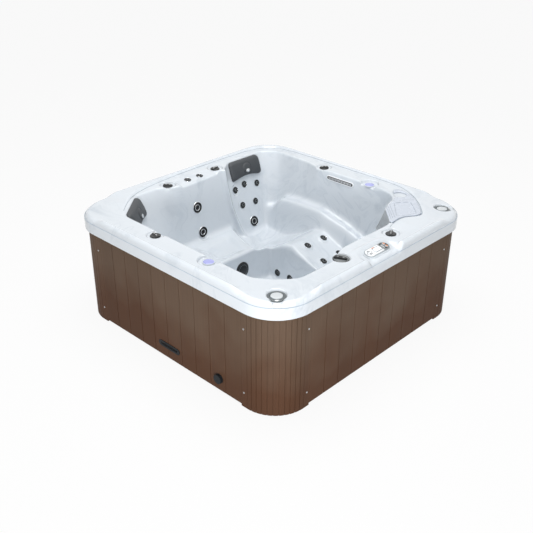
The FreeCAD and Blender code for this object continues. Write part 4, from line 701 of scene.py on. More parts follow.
def frame_at(point: Sequence[float], axis: Sequence[float], turn: float = 0.0) -> Matrix:
    """Matrix of a local frame in millimetres, local Z along the axis and local X level.

    Args:
        point: Origin in millimetres.
        axis: Direction of local Z.
        turn: Extra turn about local Z, in degrees.

    Returns:
        The matrix.
    """
    up = Vector(axis).normalized()
    level = Vector((0.0, 0.0, 1.0)).cross(up)
    if level.length < 1e-4:
        level = Vector((1.0, 0.0, 0.0))
    level.normalize()
    across = up.cross(level)
    basis = Matrix((level, across, up)).transposed().to_4x4()
    return Matrix.Translation(Vector(point)) @ basis @ Matrix.Rotation(math.radians(turn), 4, "Z")


def oval(length: float, width: float, steps: int = 14) -> Outline:
    """Stadium outline with its length along local Y.

    Args:
        length: Overall length.
        width: Overall width.
        steps: Divisions of each round end.

    Returns:
        Counter-clockwise points.
    """
    radius = width / 2.0
    reach = length / 2.0 - radius
    points = []
    for start, middle in ((0.0, reach), (math.pi, -reach)):
        for step in range(steps + 1):
            angle = start + math.pi * step / steps
            points.append((radius * math.cos(angle), middle + radius * math.sin(angle)))
    return points


def ellipse(half_x: float, half_y: float, steps: int) -> Outline:
    """Counter-clockwise points of an ellipse."""
    turns = np.linspace(0.0, 2.0 * math.pi, steps, endpoint=False)
    return [(half_x * math.cos(angle), half_y * math.sin(angle)) for angle in turns]


# Moulded shell

class Raster:
    """Square grid of heights or distances over the plan, in millimetres."""

    def __init__(self, half: float = 1090.0, step: float = 5.0) -> None:
        """Lay out the grid.

        Args:
            half: Half of the side that the grid spans.
            step: Distance between grid points.
        """
        self.half = half
        self.step = step
        line = np.arange(-half, half + step / 2.0, step)
        self.x, self.y = np.meshgrid(line, line, indexing="ij")

    def polygon(self, points: Points) -> Grid:
        """Distance to a closed outline, negative inside.

        Args:
            points: Corners of the outline.

        Returns:
            Distances on the grid.
        """
        best = np.full(self.x.shape, 1e12)
        inside = np.zeros(self.x.shape, dtype=bool)
        count = len(points)
        for index in range(count):
            ax, ay = points[index]
            bx, by = points[(index + 1) % count]
            ex, ey = bx - ax, by - ay
            wx, wy = self.x - ax, self.y - ay
            share = np.clip((wx * ex + wy * ey) / (ex * ex + ey * ey), 0.0, 1.0)
            best = np.minimum(best, (wx - ex * share) ** 2 + (wy - ey * share) ** 2)
            crosses = ((ay > self.y) != (by > self.y))
            with np.errstate(divide="ignore", invalid="ignore"):
                place = ex * (self.y - ay) / (ey if ey != 0.0 else 1e-9) + ax
            inside ^= crosses & (self.x < place)
        return np.where(inside, -1.0, 1.0) * np.sqrt(best)

    def blur(self, values: Grid, sigma: float) -> Grid:
        """Gaussian blur, which rounds corners and steps as moulding does.

        Args:
            values: Values on the grid.
            sigma: Width of the blur.

        Returns:
            Blurred values.
        """
        reach = int(math.ceil(3.0 * sigma / self.step))
        offsets = np.arange(-reach, reach + 1)
        weights = np.exp(-0.5 * (offsets * self.step / sigma) ** 2)
        weights /= weights.sum()
        result = values
        for axis in (0, 1):
            widths = [(reach, reach) if way == axis else (0, 0) for way in (0, 1)]
            padded = np.pad(result, widths, mode="edge")
            total = np.zeros_like(values)
            for offset, weight in zip(offsets, weights):
                start = reach + offset
                window = slice(start, start + values.shape[axis])
                total += weight * (padded[window, :] if axis == 0 else padded[:, window])
            result = total
        return result

    def sample(self, values: Grid, x: Grid, y: Grid) -> Grid:
        """Bilinear lookup.

        Args:
            values: Values on the grid.
            x: Places along X.
            y: Places along Y.

        Returns:
            Values at the places.
        """
        u = np.clip((x + self.half) / self.step, 0.0, values.shape[0] - 1.001)
        v = np.clip((y + self.half) / self.step, 0.0, values.shape[1] - 1.001)
        i, j = u.astype(int), v.astype(int)
        fu, fv = u - i, v - j
        return ((values[i, j] * (1 - fu) + values[i + 1, j] * fu) * (1 - fv)
                + (values[i, j + 1] * (1 - fu) + values[i + 1, j + 1] * fu) * fv)


def smooth_min(first: Grid, second: Grid, width: float) -> Grid:
    """Lesser of two fields, blended over a width."""
    blend = np.clip(0.5 + 0.5 * (second - first) / width, 0.0, 1.0)
    return second * (1.0 - blend) + first * blend - width * blend * (1.0 - blend)


def smooth_max(first: Grid, second: Grid, width: float) -> Grid:
    """Greater of two fields, blended over a width."""
    return -smooth_min(-first, -second, width)


def smooth_step(low: float, high: float, value: Grid) -> Grid:
    """Smooth change from 0 at low to 1 at high."""
    share = np.clip((value - low) / (high - low), 0.0, 1.0)
    return share * share * (3.0 - 2.0 * share)


def blend(first: Grid, second: Grid | float, share: Grid) -> Grid:
    """Change from one field to another as the share goes from 0 to 1."""
    return first * (1.0 - share) + second * share


def rounded_box(x: Grid, y: Grid, half: Span, corner: float) -> Grid:
    """Distance to a centred rectangle with round corners.

    Args:
        x: Places along X.
        y: Places along Y.
        half: Half of the rectangle's length along X and along Y.
        corner: Corner radius.

    Returns:
        Distances, negative inside.
    """
    past_x, past_y = np.abs(x) - half[0] + corner, np.abs(y) - half[1] + corner
    outside = np.hypot(np.maximum(past_x, 0.0), np.maximum(past_y, 0.0))
    return outside + np.minimum(np.maximum(past_x, past_y), 0.0) - corner


@dataclass
class Seat:
    """Flat round patch on the shell that a fitting sits on."""

    point: Grid
    normal: Grid
    radius: float
    fade: float = 22.0
    margin: float = 34.0


@dataclass
class ShellForm:
    """Sizes of the moulded shell.

    Lengths are in millimetres. The outlines of basin, footwell, seats and cups are shares of the basin's
    half width. A span gives the two distances or places between which a form fades in or out.
    """

    basin_half: float = 900.0
    basin_top: float = 850.0
    basin_low: float = 340.0
    ledge: float = 837.0
    rim_top: float = 858.0
    lip_half: float = 1048.0
    lip_corner: float = 277.0
    lip_bottom: float = 725.0
    skirt_top: float = 800.0
    skirt_step: float = 4.0
    bolster_inner: float = 1000.0
    ledge_corner: float = 200.0
    scoop_radius: float = 262.0
    scoop_place: float = 905.0
    slope_inner: float = 851.0
    slope_outer: float = 813.0
    corner_drop: float = 11.0
    footwell_floor: float = 60.0
    arm_line: float = 712.0
    dish_depth: float = 32.0
    rib_heights: tuple[float, ...] = (200, 300, 500, 700, 850)
    rib_places: tuple[float, ...] = (420, 385, 322, 293, 287)
    rib_proud: float = 24.0
    rib_width: float = 22.0
    rib_reach: Span = (-560.0, -640.0)
    weir_heights: tuple[float, ...] = (340, 480, 600, 640, 838)
    weir_proud: tuple[float, ...] = (0, 10, 28, 28, 0)
    weir_aside: Span = (215.0, 110.0)
    weir_out: Span = (400.0, 700.0)
    filter_left: float = 84.0
    filter_right: float = -256.0
    filter_near: float = 700.0
    filter_open: float = 850.0
    filter_far: float = 1040.0
    filter_floor: float = 560.0
    filter_foot: float = 635.0
    filter_lean: float = 0.6
    filter_margin: float = 12.0
    wall_blur: float = 26.0
    root_blur: float = 30.0
    footwell_blur: float = 18.0
    floor_blur: float = 19.0
    rim_blur: float = 5.0
    seat_fillet: float = 48.0
    footwell_fillet: float = 55.0
    footwell_edge: float = 26.0
    lip_fillet: float = 44.0
    basin_edge: float = 14.0
    dish_edge: Span = (10.0, -60.0)
    lounge_hollow_place: float = 0.56
    lounge_hollow_width: float = 130.0
    lounge_hollow_depth: float = 10.0
    bolster_rise: Span = (-2.0, 16.0)
    bolster_end_right: Span = (332.0, 460.0)
    bolster_end_left: Span = (-800.0, -640.0)
    corner_drop_span: Span = (400.0, 750.0)
    bolster_foot_edge: Span = (2.0, -9.0)
    bay: Points = ((872, -173), (1080, -173), (1080, 157), (872, 157))
    bay_blur: float = 34.0
    bay_edge: Span = (26.0, -14.0)
    bay_top: float = 852.0
    bay_drop: float = 48.0
    bay_depth: float = 196.0
    bay_hollow: tuple[float, float, float, float] = (966.0, -8.0, 74.0, 148.0)
    bay_hollow_depth: float = 5.0
    bay_hollow_width: float = 0.09
    shelf: Points = ((-925, -180), (-700, -180), (-700, 220), (-925, 220))
    shelf_blur: float = 14.0
    shelf_edge: Span = (6.0, -10.0)
    shelf_drop: float = 20.0
    shelf_depth: float = 130.0
    seats: list[Seat] = field(default_factory=list)
    opening: Points = (
        (-0.733, -0.931), (0.711, -0.944), (0.842, -0.854), (0.952, -0.717), (0.952, -0.367),
        (0.864, -0.167), (0.864, 0.430), (0.668, 0.628), (0.622, 0.745), (0.59, 0.865), (0.51, 0.93),
        (0.367, 0.964),
        (-0.321, 0.966), (-0.5, 1.017), (-0.886, 1.031), (-1.028, 0.922), (-1.031, 0.478),
        (-0.912, 0.322), (-0.889, -0.256), (-0.983, -0.378), (-0.992, -0.637))
    root: Points = (
        (-0.556, -0.767), (0.622, -0.811), (0.722, -0.744), (0.828, -0.622), (0.829, -0.367),
        (0.817, -0.167), (0.816, 0.444), (0.578, 0.694), (0.478, 0.856), (0.367, 0.888),
        (-0.321, 0.889), (-0.478, 0.908), (-0.722, 0.906), (-0.833, 0.811), (-0.835, 0.378),
        (-0.828, 0.322), (-0.817, -0.256), (-0.828, -0.367), (-0.767, -0.533))
    footwell_top: Points = (
        (-0.355, -0.267), (-0.244, -0.378), (0.333, -0.378), (0.456, -0.256),
        (0.456, 0.222), (0.389, 0.322), (-0.3, 0.322), (-0.355, 0.167))
    footwell_low: Points = (
        (-0.322, -0.244), (-0.222, -0.344), (0.311, -0.344), (0.422, -0.233),
        (0.422, 0.2), (0.367, 0.294), (-0.285, 0.294), (-0.322, 0.156))
    lounge_plan: Points = (
        (-1.2, 0.6), (-0.861, 0.367), (-0.667, 0.291), (-0.367, 0.183), (-0.333, 0.31),
        (1.2, 0.315), (1.2, 1.2), (-1.2, 1.2))
    lounge_side: Points = (
        (-1.2, 0.5), (-0.861, 0.27), (-0.75, 0.25), (-0.52, 0.245), (-0.315, 0.33),
        (-0.175, 0.42), (-0.07, 0.44), (0.217, 0.32), (0.6, 0.17), (1.2, 0.16))
    arm_side: Points = (
        (-1.2, 0.43), (-0.77, 0.44), (-0.68, 0.556), (-0.42, 0.578), (-0.18, 0.583),
        (0.11, 0.516), (0.47, 0.39), (1.2, 0.3))
    dishes: tuple[Points, ...] = (
        ((-0.76, -0.22), (-0.4, -0.2), (-0.4, 0.1), (-0.74, 0.22)),
        ((-0.68, -0.48), (-0.5, -0.67), (-0.28, -0.5), (-0.4, -0.3)),
        ((-0.2, -0.74), (0.34, -0.74), (0.3, -0.44), (-0.18, -0.44)),
        ((0.5, -0.7), (0.74, -0.56), (0.74, -0.1), (0.52, -0.1), (0.47, -0.4)))
    cups: tuple[tuple[float, float, float, float], ...] = (
        (-0.986, -0.274, 62, 13), (-0.999, 0.294, 62, 13), (-0.28, -0.979, 62, 13),
        (-0.301, 1.019, 62, 13), (0.97, 0.301, 62, 13), (0.959, -0.288, 62, 13),
        (0.244, 0.992, 72, 20), (0.313, -0.976, 72, 20))
    speakers: tuple[tuple[float, float], ...] = ((888, 888), (888, -888))
    speaker_hole: float = 43.0
    recess_depth: float = 20.0
    recess_edge: Span = (64.0, 57.0)
    channel_places: tuple[float, ...] = (40, 62, 80, 98, 120)
    channel_widths: tuple[float, ...] = (50, 42, 27, 33, 44)
    channel_start: Span = (40.0, 56.0)
    channel_depth: float = 11.0
    # Outline where the bolster rises from the ledge; the grey line of painted shade follows it.
    bolster_foot: Points = (
        (-724, -794), (-794, -720), (-848, -648), (-893, -570), (-928, -481),
        (-953, -357), (-974, -182), (-988, 0), (-995, 225), (-996, 600),
        (-985, 770), (-940, 885), (-860, 960), (-745, 994), (-600, 1002),
        (0, 1002), (260, 999), (352, 996), (410, 991), (462, 982), (514, 963),
        (574, 933), (638, 896), (693, 853), (734, 817), (775, 776), (817, 728),
        (845, 694), (858, 665), (857, 638), (846, 610), (827, 582), (810, 556),
        (796, 526), (790, 494), (791, 450), (801, 390), (818, 332))
    bolster_foot_outside: Points = ((1200, 332), (1200, 1200), (-1200, 1200), (-1200, -794))


MESH_MARGIN = 20.0
MESH_DEPTH = 700.0
MESH_TOP = 884.0


class ShellSculptor:
    """Turns the shell's form into a smooth field and the field into a mesh."""

    def __init__(self, form: ShellForm, step: float) -> None:
        """Prepare the plan fields.

        Args:
            form: Sizes of the shell.
            step: Edge length of the mesh in millimetres.
        """
        self.form = form
        self.step = step
        self.plan = Raster()
        self._plan_fields()

    def _scaled(self, shares: Points) -> Outline:
        """Outline at its real size."""
        half = self.form.basin_half
        return [(x * half, y * half) for x, y in shares]

    def _side(self, shares: Points) -> Grid:
        """Heights of a side profile over the plan."""
        half = self.form.basin_half
        return np.interp(self.plan.x, [x * half for x, _ in shares], [z * half for _, z in shares])

    def _rounded_square(self, half: float, corner: float) -> Grid:
        """Distance to a centred square with round corners."""
        return rounded_box(self.plan.x, self.plan.y, (half, half), corner)

    def _soft_outline(self, shares: Points, blur: float) -> Grid:
        """Distance to an outline at its real size, its corners rounded by a blur."""
        return self.plan.blur(self.plan.polygon(self._scaled(shares)), blur)

    def _plan_fields(self) -> None:
        """Build every field that depends on the plan only."""
        form, plan = self.form, self.plan
        self.open_wall = self._soft_outline(form.opening, form.wall_blur)
        self.root_wall = self._soft_outline(form.root, form.root_blur)
        self.well_top = self._soft_outline(form.footwell_top, form.footwell_blur)
        self.well_low = self._soft_outline(form.footwell_low, form.footwell_blur)
        self.outer = self._rounded_square(form.lip_half, form.lip_corner)
        self.lid_edge = FilterCorner.lid_distance(plan)
        self.floor = plan.blur(self._floor_heights(), form.floor_blur)
        slope = np.hypot(*np.gradient(self.floor, plan.step))
        self.floor_scale = 1.0 / np.sqrt(1.0 + slope ** 2)
        self.top = self._rim_heights()

    def _floor_heights(self) -> Grid:
        """Heights of the seats, dishes, lounger and arm ledge.

        Returns:
            Heights over the plan.
        """
        form, plan = self.form, self.plan
        heights = np.full(plan.x.shape, form.basin_low)
        for outline in form.dishes:
            inside = plan.polygon(self._scaled(outline))
            heights -= form.dish_depth * smooth_step(*form.dish_edge, inside)
        lounge = plan.polygon(self._scaled(form.lounge_plan)) < 0.0
        heights = np.where(lounge, self._side(form.lounge_side), heights)
        middle = form.lounge_hollow_place * form.basin_half
        hollow = np.exp(-((plan.y - middle) / form.lounge_hollow_width) ** 2)
        heights = np.where(lounge, heights - form.lounge_hollow_depth * hollow, heights)
        arm = lounge & (plan.y > form.arm_line)
        return np.where(arm, np.maximum(self._side(form.arm_side), heights), heights)

    def _rim_heights(self) -> Grid:
        """Heights of the ledge, bolsters, sloping corners, panel bay, shelf and cups.

        Returns:
            Heights over the plan.
        """
        form, plan = self.form, self.plan
        heights = self._shelf(self._panel_bay(self._slope_corners(self._bolsters())))
        heights = plan.blur(heights, form.rim_blur)
        under_lid = np.minimum(heights, FilterCorner.under - 1.0)
        heights = blend(heights, under_lid, smooth_step(7.0, 2.0, self.lid_edge))
        for u, v, radius, depth in form.cups:
            reach = np.hypot(plan.x - u * form.basin_half, plan.y - v * form.basin_half)
            heights = blend(heights, form.ledge - depth, smooth_step(radius + 3.0, radius - 5.0, reach))
        for x, y in form.speakers:
            heights = self._speaker_recess(heights, x, y)
        return heights

    def _bolsters(self) -> Grid:
        """Heights of the ledge and of the bolsters, whose ends fade into it.

        Returns:
            Heights over the plan.
        """
        form, plan = self.form, self.plan
        rise = smooth_step(*form.bolster_rise, self._rounded_square(form.bolster_inner, form.ledge_corner))
        heights = form.ledge + (form.rim_top - form.ledge) * rise
        outer = plan.polygon([*form.bolster_foot, *form.bolster_foot_outside])
        ends = np.where(plan.x > 0.0, smooth_step(*form.bolster_end_right, plan.y),
                        smooth_step(*form.bolster_end_left, plan.y))
        lift = form.rim_top - form.ledge - form.corner_drop * smooth_step(*form.corner_drop_span, plan.x)
        return np.maximum(heights, form.ledge + lift * smooth_step(*form.bolster_foot_edge, outer) * ends)

    def _slope_corners(self, heights: Grid) -> Grid:
        """Slope the rim down to its corners, but for the lounger's.

        Args:
            heights: Heights of the rim.

        Returns:
            The changed heights.
        """
        form, plan = self.form, self.plan
        diagonal = (np.abs(plan.x) + np.abs(plan.y)) / math.sqrt(2.0)
        start = form.scoop_place * math.sqrt(2.0) - form.scoop_radius
        fall = (diagonal - start) * (form.slope_inner - form.slope_outer) / (2 * form.scoop_radius)
        reach = np.hypot(np.abs(plan.x) - form.scoop_place, np.abs(plan.y) - form.scoop_place)
        share = smooth_step(form.scoop_radius + 40.0, form.scoop_radius - 60.0, reach)
        share = share * smooth_step(60.0, -60.0, np.minimum(-plan.x, plan.y))
        return blend(heights, np.minimum(heights, form.slope_inner - fall), share)

    def _panel_bay(self, heights: Grid) -> Grid:
        """Slope the bay of the control panel and sink the hollow round the panel.

        Args:
            heights: Heights of the rim.

        Returns:
            The changed heights.
        """
        form, plan = self.form, self.plan
        bay = plan.blur(plan.polygon(form.bay), form.bay_blur)
        slope = form.bay_top - (plan.x - form.bay[0][0]) * form.bay_drop / form.bay_depth
        heights = blend(heights, slope, smooth_step(*form.bay_edge, bay))
        middle_x, middle_y, half_x, half_y = form.bay_hollow
        reach = np.hypot((plan.x - middle_x) / half_x, (plan.y - middle_y) / half_y)
        return heights - form.bay_hollow_depth * np.exp(-((reach - 1.0) / form.bay_hollow_width) ** 2)

    def _shelf(self, heights: Grid) -> Grid:
        """Let the shelf beside the side seat fall towards the basin.

        Args:
            heights: Heights of the rim.

        Returns:
            The changed heights.
        """
        form, plan = self.form, self.plan
        shelf = plan.blur(plan.polygon(form.shelf), form.shelf_blur)
        fall = form.ledge - (plan.x - form.shelf[0][0]) * form.shelf_drop / form.shelf_depth
        share = smooth_step(*form.shelf_edge, shelf)
        return np.minimum(heights, blend(heights, fall, share))

    def _speaker_recess(self, heights: Grid, x: float, y: float) -> Grid:
        """Sink a speaker's round recess and the shallow channel that drains it outward.

        Args:
            heights: Heights of the rim.
            x: Middle of the speaker along X.
            y: Middle of the speaker along Y.

        Returns:
            The changed heights.
        """
        form, plan = self.form, self.plan
        reach = np.hypot(plan.x - x, plan.y - y)
        heights = blend(heights, form.ledge - form.recess_depth, smooth_step(*form.recess_edge, reach))
        out = (plan.x * np.sign(x) + plan.y * np.sign(y)) / math.sqrt(2.0) - math.hypot(x, y)
        aside = np.abs(plan.x * np.sign(y) - plan.y * np.sign(x)) / math.sqrt(2.0)
        wide = np.interp(out, form.channel_places, form.channel_widths)
        share = smooth_step(4.0, -4.0, aside - wide) * smooth_step(*form.channel_start, out)
        return heights - form.channel_depth * share

    def height(self, x: float, y: float) -> float:
        """Height of the rim's surface at a place."""
        return float(self.plan.sample(self.top, np.array([x]), np.array([y]))[0])

    def field(self, x: Grid, y: Grid, z: Grid) -> Grid:
        """Distance-like field of the shell, negative in its material.

        Args:
            x: Places along X.
            y: Places along Y.
            z: Places along Z, which broadcast with the others.

        Returns:
            Field values.
        """
        form = self.form
        flat_x, flat_y = np.broadcast_arrays(x, y)

        def look(values: Grid) -> Grid:
            """Plan field at the places."""
            return self.plan.sample(values, flat_x, flat_y).astype(np.float32)

        z = z.astype(np.float32)
        rise = (z - form.basin_low) / (form.basin_top - form.basin_low)
        wall = blend(look(self.root_wall), look(self.open_wall), rise)
        wall = self._wall_relief(wall, flat_x, flat_y, z)
        floor = (look(self.floor) - z) * look(self.floor_scale)
        basin = smooth_max(wall, floor, form.seat_fillet)
        climb = np.minimum((z - form.footwell_floor) / (form.basin_low - form.footwell_floor), 1.1)
        well_wall = blend(look(self.well_low), look(self.well_top), climb)
        well = smooth_max(well_wall, form.footwell_floor - z, form.footwell_fillet)
        basin = smooth_min(basin, well, form.footwell_edge)
        basin = np.minimum(basin, self._filter_well(flat_x, flat_y, z))
        step = form.skirt_step * smooth_step(form.skirt_top - 3.0, form.skirt_top + 3.0, z)
        rim = smooth_max(z - look(self.top), look(self.outer) + step, form.lip_fillet)
        solid = smooth_max(rim, -basin, form.basin_edge)
        for hole_x, hole_y in form.speakers:
            reach = np.hypot(flat_x - hole_x, flat_y - hole_y)
            solid = np.maximum(solid, form.speaker_hole - reach)
        return self._press_seats(solid, flat_x, flat_y, z)

    def _wall_relief(self, wall: Grid, x: Grid, y: Grid, z: Grid) -> Grid:
        """Raise the rib behind the side seat and the wall that leans out below the weir.

        Args:
            wall: Distance to the basin's wall.
            x: Places along X.
            y: Places along Y.
            z: Places along Z.

        Returns:
            The changed distance.
        """
        form = self.form
        rib = y - np.interp(z, form.rib_heights, form.rib_places)
        wall = wall + form.rib_proud * np.exp(-(rib / form.rib_width) ** 2) * smooth_step(*form.rib_reach, x)
        aside = (y - x) / math.sqrt(2.0)
        share = smooth_step(*form.weir_aside, aside) * smooth_step(*form.weir_out, x + y)
        return wall + np.interp(z, form.weir_heights, form.weir_proud) * share

    def _filter_well(self, x: Grid, y: Grid, z: Grid) -> Grid:
        """Space of the filter corner, its near side open to the basin.

        Args:
            x: Places along X.
            y: Places along Y.
            z: Places along Z.

        Returns:
            Distance-like field, negative in the space.
        """
        form = self.form
        out = (x + y) / math.sqrt(2.0)
        aside = (y - x) / math.sqrt(2.0)
        left = form.filter_left - (z - form.filter_foot) * form.filter_lean
        cover = self.plan.sample(self.lid_edge, x, y) + form.filter_margin
        sides = np.maximum(np.maximum(aside - left, form.filter_right - aside),
                           np.maximum(out - form.filter_far, form.filter_near - out))
        open_side = np.minimum(out - form.filter_open, cover)
        return np.maximum(np.maximum(sides, open_side), form.filter_floor - z)

    def _press_seats(self, values: Grid, x: Grid, y: Grid, z: Grid) -> Grid:
        """Flatten the field round each fitting's seat.

        Args:
            values: Field values.
            x: Places along X.
            y: Places along Y.
            z: Places along Z.

        Returns:
            The changed field.
        """
        place = np.broadcast_arrays(x, y, z)
        for seat in self.form.seats:
            reach = seat.radius + seat.margin
            near = np.array(True)
            for line, spot in zip((x, y, z), seat.point):
                near = near & (np.abs(line - spot) < reach)
            if not near.any():
                continue
            shift = [line[near] - spot for line, spot in zip(place, seat.point)]
            along = sum(part * way for part, way in zip(shift, seat.normal))
            across = np.sqrt(np.maximum(sum(part * part for part in shift) - along * along, 0.0))
            share = smooth_step(seat.radius + seat.fade, seat.radius + 5.0, across)
            share = share * smooth_step(seat.margin, seat.fade, np.abs(along))
            values[near] = blend(values[near], along, share)
        return values

    def surface(self) -> Surface:
        """Visible surface of the shell, settled on the field.

        Returns:
            Vertices in millimetres, quads and normals.
        """
        form, step = self.form, self.step
        reach = form.lip_half + MESH_MARGIN
        side = np.arange(-reach, reach + step, step)
        low = form.lip_bottom - step * round(MESH_DEPTH / step)
        up = np.arange(low, MESH_TOP, step)
        verts, quads = surface_nets(self.field(*open_grid(side, side, up)), (side, side, up))
        centre = verts[quads].mean(axis=1)
        edge = self.plan.sample(self.outer, centre[:, 0], centre[:, 1])
        keep = ~((edge > -30.0) & (centre[:, 2] < form.lip_bottom))
        for hole_x, hole_y in form.speakers:
            near = np.hypot(centre[:, 0] - hole_x, centre[:, 1] - hole_y) < 56.0
            keep &= ~(near & (centre[:, 2] < form.ledge - 34.0))
        used, quads = np.unique(quads[keep], return_inverse=True)
        verts, normals = settle(self.field, verts[used], step)
        return Surface(verts, quads.reshape(-1, 4), normals)


def open_grid(x: Grid, y: Grid, z: Grid) -> tuple[Grid, Grid, Grid]:
    """Grid lines shaped so that they broadcast to a grid."""
    return x[:, None, None], y[None, :, None], z[None, None, :]


def surface_nets(values: Grid, axes: Sequence[Grid]) -> tuple[Grid, Grid]:
    """Zero surface of a field by surface nets.

    Args:
        values: Field on a grid.
        axes: Grid lines along X, Y and Z.

    Returns:
        Vertices and outward facing quads.
    """
    sign = values < 0.0
    shape = tuple(count - 1 for count in values.shape)
    corners = [(i, j, k) for i in (0, 1) for j in (0, 1) for k in (0, 1)]
    total = np.zeros(shape, dtype=np.int8)
    for i, j, k in corners:
        total += sign[i:i + shape[0], j:j + shape[1], k:k + shape[2]]
    cells = np.argwhere((total > 0) & (total < 8))
    corner_values = np.stack([values[tuple((cells + corner).T)] for corner in corners], axis=1)
    sums = np.zeros((len(cells), 3))
    counts = np.zeros(len(cells))
    for first, corner in enumerate(corners):
        for way in range(3):
            if corner[way]:
                continue
            a, b = corner_values[:, first], corner_values[:, first + (4 >> way)]
            crosses = (a < 0.0) != (b < 0.0)
            share = np.where(crosses, a / np.where(crosses, a - b, 1.0), 0.0)
            place = np.tile(np.array(corner, dtype=float), (len(cells), 1))
            place[:, way] += share
            sums += place * crosses[:, None]
            counts += crosses
    local = sums / counts[:, None]
    step = axes[0][1] - axes[0][0]
    origin = np.array([line[0] for line in axes])
    verts = origin + (cells + local) * step
    number = np.full(shape, -1, dtype=np.int64)
    number[tuple(cells.T)] = np.arange(len(cells))
    quads = []
    for way in range(3):
        one, two = [axis for axis in range(3) if axis != way]
        low = [slice(None)] * 3
        high = [slice(None)] * 3
        low[way], high[way] = slice(0, -1), slice(1, None)
        edge = sign[tuple(low)] != sign[tuple(high)]
        spots = np.argwhere(edge)
        spots = spots[(spots[:, one] > 0) & (spots[:, two] > 0)
                      & (spots[:, one] < shape[one]) & (spots[:, two] < shape[two])]
        ring = []
        for move_one, move_two in ((-1, -1), (0, -1), (0, 0), (-1, 0)):
            cell = spots.copy()
            cell[:, one] += move_one
            cell[:, two] += move_two
            ring.append(number[tuple(cell.T)])
        quad = np.stack(ring, axis=1)
        inside = sign[tuple(spots.T)]
        flip = inside == (way == 1)
        quad[flip] = quad[flip][:, ::-1]
        quads.append(quad)
    return verts, np.concatenate(quads)


Field = Callable[[Grid, Grid, Grid], Grid]


def gradient(shape: Field, verts: Grid, reach: float) -> Grid:
    """Slope of a field at given points.

    Args:
        shape: The field.
        verts: Points in millimetres.
        reach: Distance between the two samples along each axis.

    Returns:
        Slope vectors.
    """
    slopes = np.empty_like(verts)
    for way in range(3):
        ends = []
        for side in (0.5, -0.5):
            moved = verts.copy()
            moved[:, way] += side * reach
            ends.append(shape(moved[:, 0], moved[:, 1], moved[:, 2]))
        slopes[:, way] = (ends[0] - ends[1]) / reach
    return slopes


def settle(shape: Field, verts: Grid, step: float, rounds: int = 2) -> tuple[Grid, Grid]:
    """Move points onto a field's zero surface.

    Args:
        shape: The field.
        verts: Points near the surface.
        step: Most that a point may move in a round.
        rounds: Number of rounds.

    Returns:
        Settled points and their normals.
    """
    reach = 0.25 * step
    for _ in range(rounds):
        slopes = gradient(shape, verts, reach)
        square = np.maximum((slopes ** 2).sum(axis=1), 0.05)
        move = shape(verts[:, 0], verts[:, 1], verts[:, 2]) / square
        shift = -slopes * move[:, None]
        length = np.linalg.norm(shift, axis=1)
        shift *= np.minimum(1.0, 0.5 * step / np.maximum(length, 1e-9))[:, None]
        verts = verts + shift
    slopes = gradient(shape, verts, reach)
    return verts, slopes / np.maximum(np.linalg.norm(slopes, axis=1), 1e-9)[:, None]


def sculpt(shape: Field, low: Sequence[float], high: Sequence[float], step: float) -> Surface:
    """Surface of a field within a box.

    Args:
        shape: Field that is negative inside.
        low: Lowest corner in millimetres.
        high: Highest corner.
        step: Edge length of the mesh.

    Returns:
        The surface.
    """
    axes = tuple(np.arange(start - step, end + 2.0 * step, step) for start, end in zip(low, high))
    verts, quads = surface_nets(shape(*open_grid(*axes)), axes)
    verts, normals = settle(shape, verts, step)
    return Surface(verts, quads, normals)


def rounded_path(half: float, corner: float, steps: int = 24,
                 runs: int = 60) -> list[tuple[float, float, float, float]]:
    """Closed path round a square with round corners.

    Args:
        half: Half of the square's side.
        corner: Radius of its corners.
        steps: Divisions of each corner.
        runs: Divisions of each straight side.

    Returns:
        Points as (x, y, normal x, normal y).
    """
    path = []
    inner = half - corner
    for quarter, (side_x, side_y) in enumerate(((1, 1), (-1, 1), (-1, -1), (1, -1))):
        for step in range(steps + 1):
            angle = math.pi / 2.0 * (quarter + step / steps)
            way_x, way_y = math.cos(angle), math.sin(angle)
            path.append((side_x * inner + corner * way_x, side_y * inner + corner * way_y, way_x, way_y))
        end_x, end_y = path[-1][:2]
        for run in range(1, runs):
            reach = 2.0 * inner * run / runs
            path.append((end_x - way_y * reach, end_y + way_x * reach, way_x, way_y))
    return path


RIBBON_SECTION = ((-0.5, -0.6), (-0.5, 0.4), (-0.2, 1.0), (0.2, 1.0), (0.5, 0.4), (0.5, -0.6))


def ribbon(piece: Piece, path: Sequence[Vector], outs: Sequence[Vector], ups: Sequence[Vector], width: float,
           proud: float, finish: str, closed: bool = True) -> None:
    """Add a thin raised line along a path.

    Args:
        piece: Piece that it is added to.
        path: Points on the surface, in millimetres.
        outs: Surface normal at each point.
        ups: Direction of the line's width at each point.
        width: Width of the line.
        proud: How far it stands out.
        finish: Its finish.
        closed: Whether the path returns to its start.
    """
    rings = [[point + up * (width * across) + out * (proud * rise) for across, rise in RIBBON_SECTION]
             for point, out, up in zip(path, outs, ups)]
    piece.loft(rings, finish, closed=closed, capped=not closed)


@dataclass
class SubAssembly:
    """A sub-assembly of the tub, with the workshop that it is built in."""

    shop: Workshop


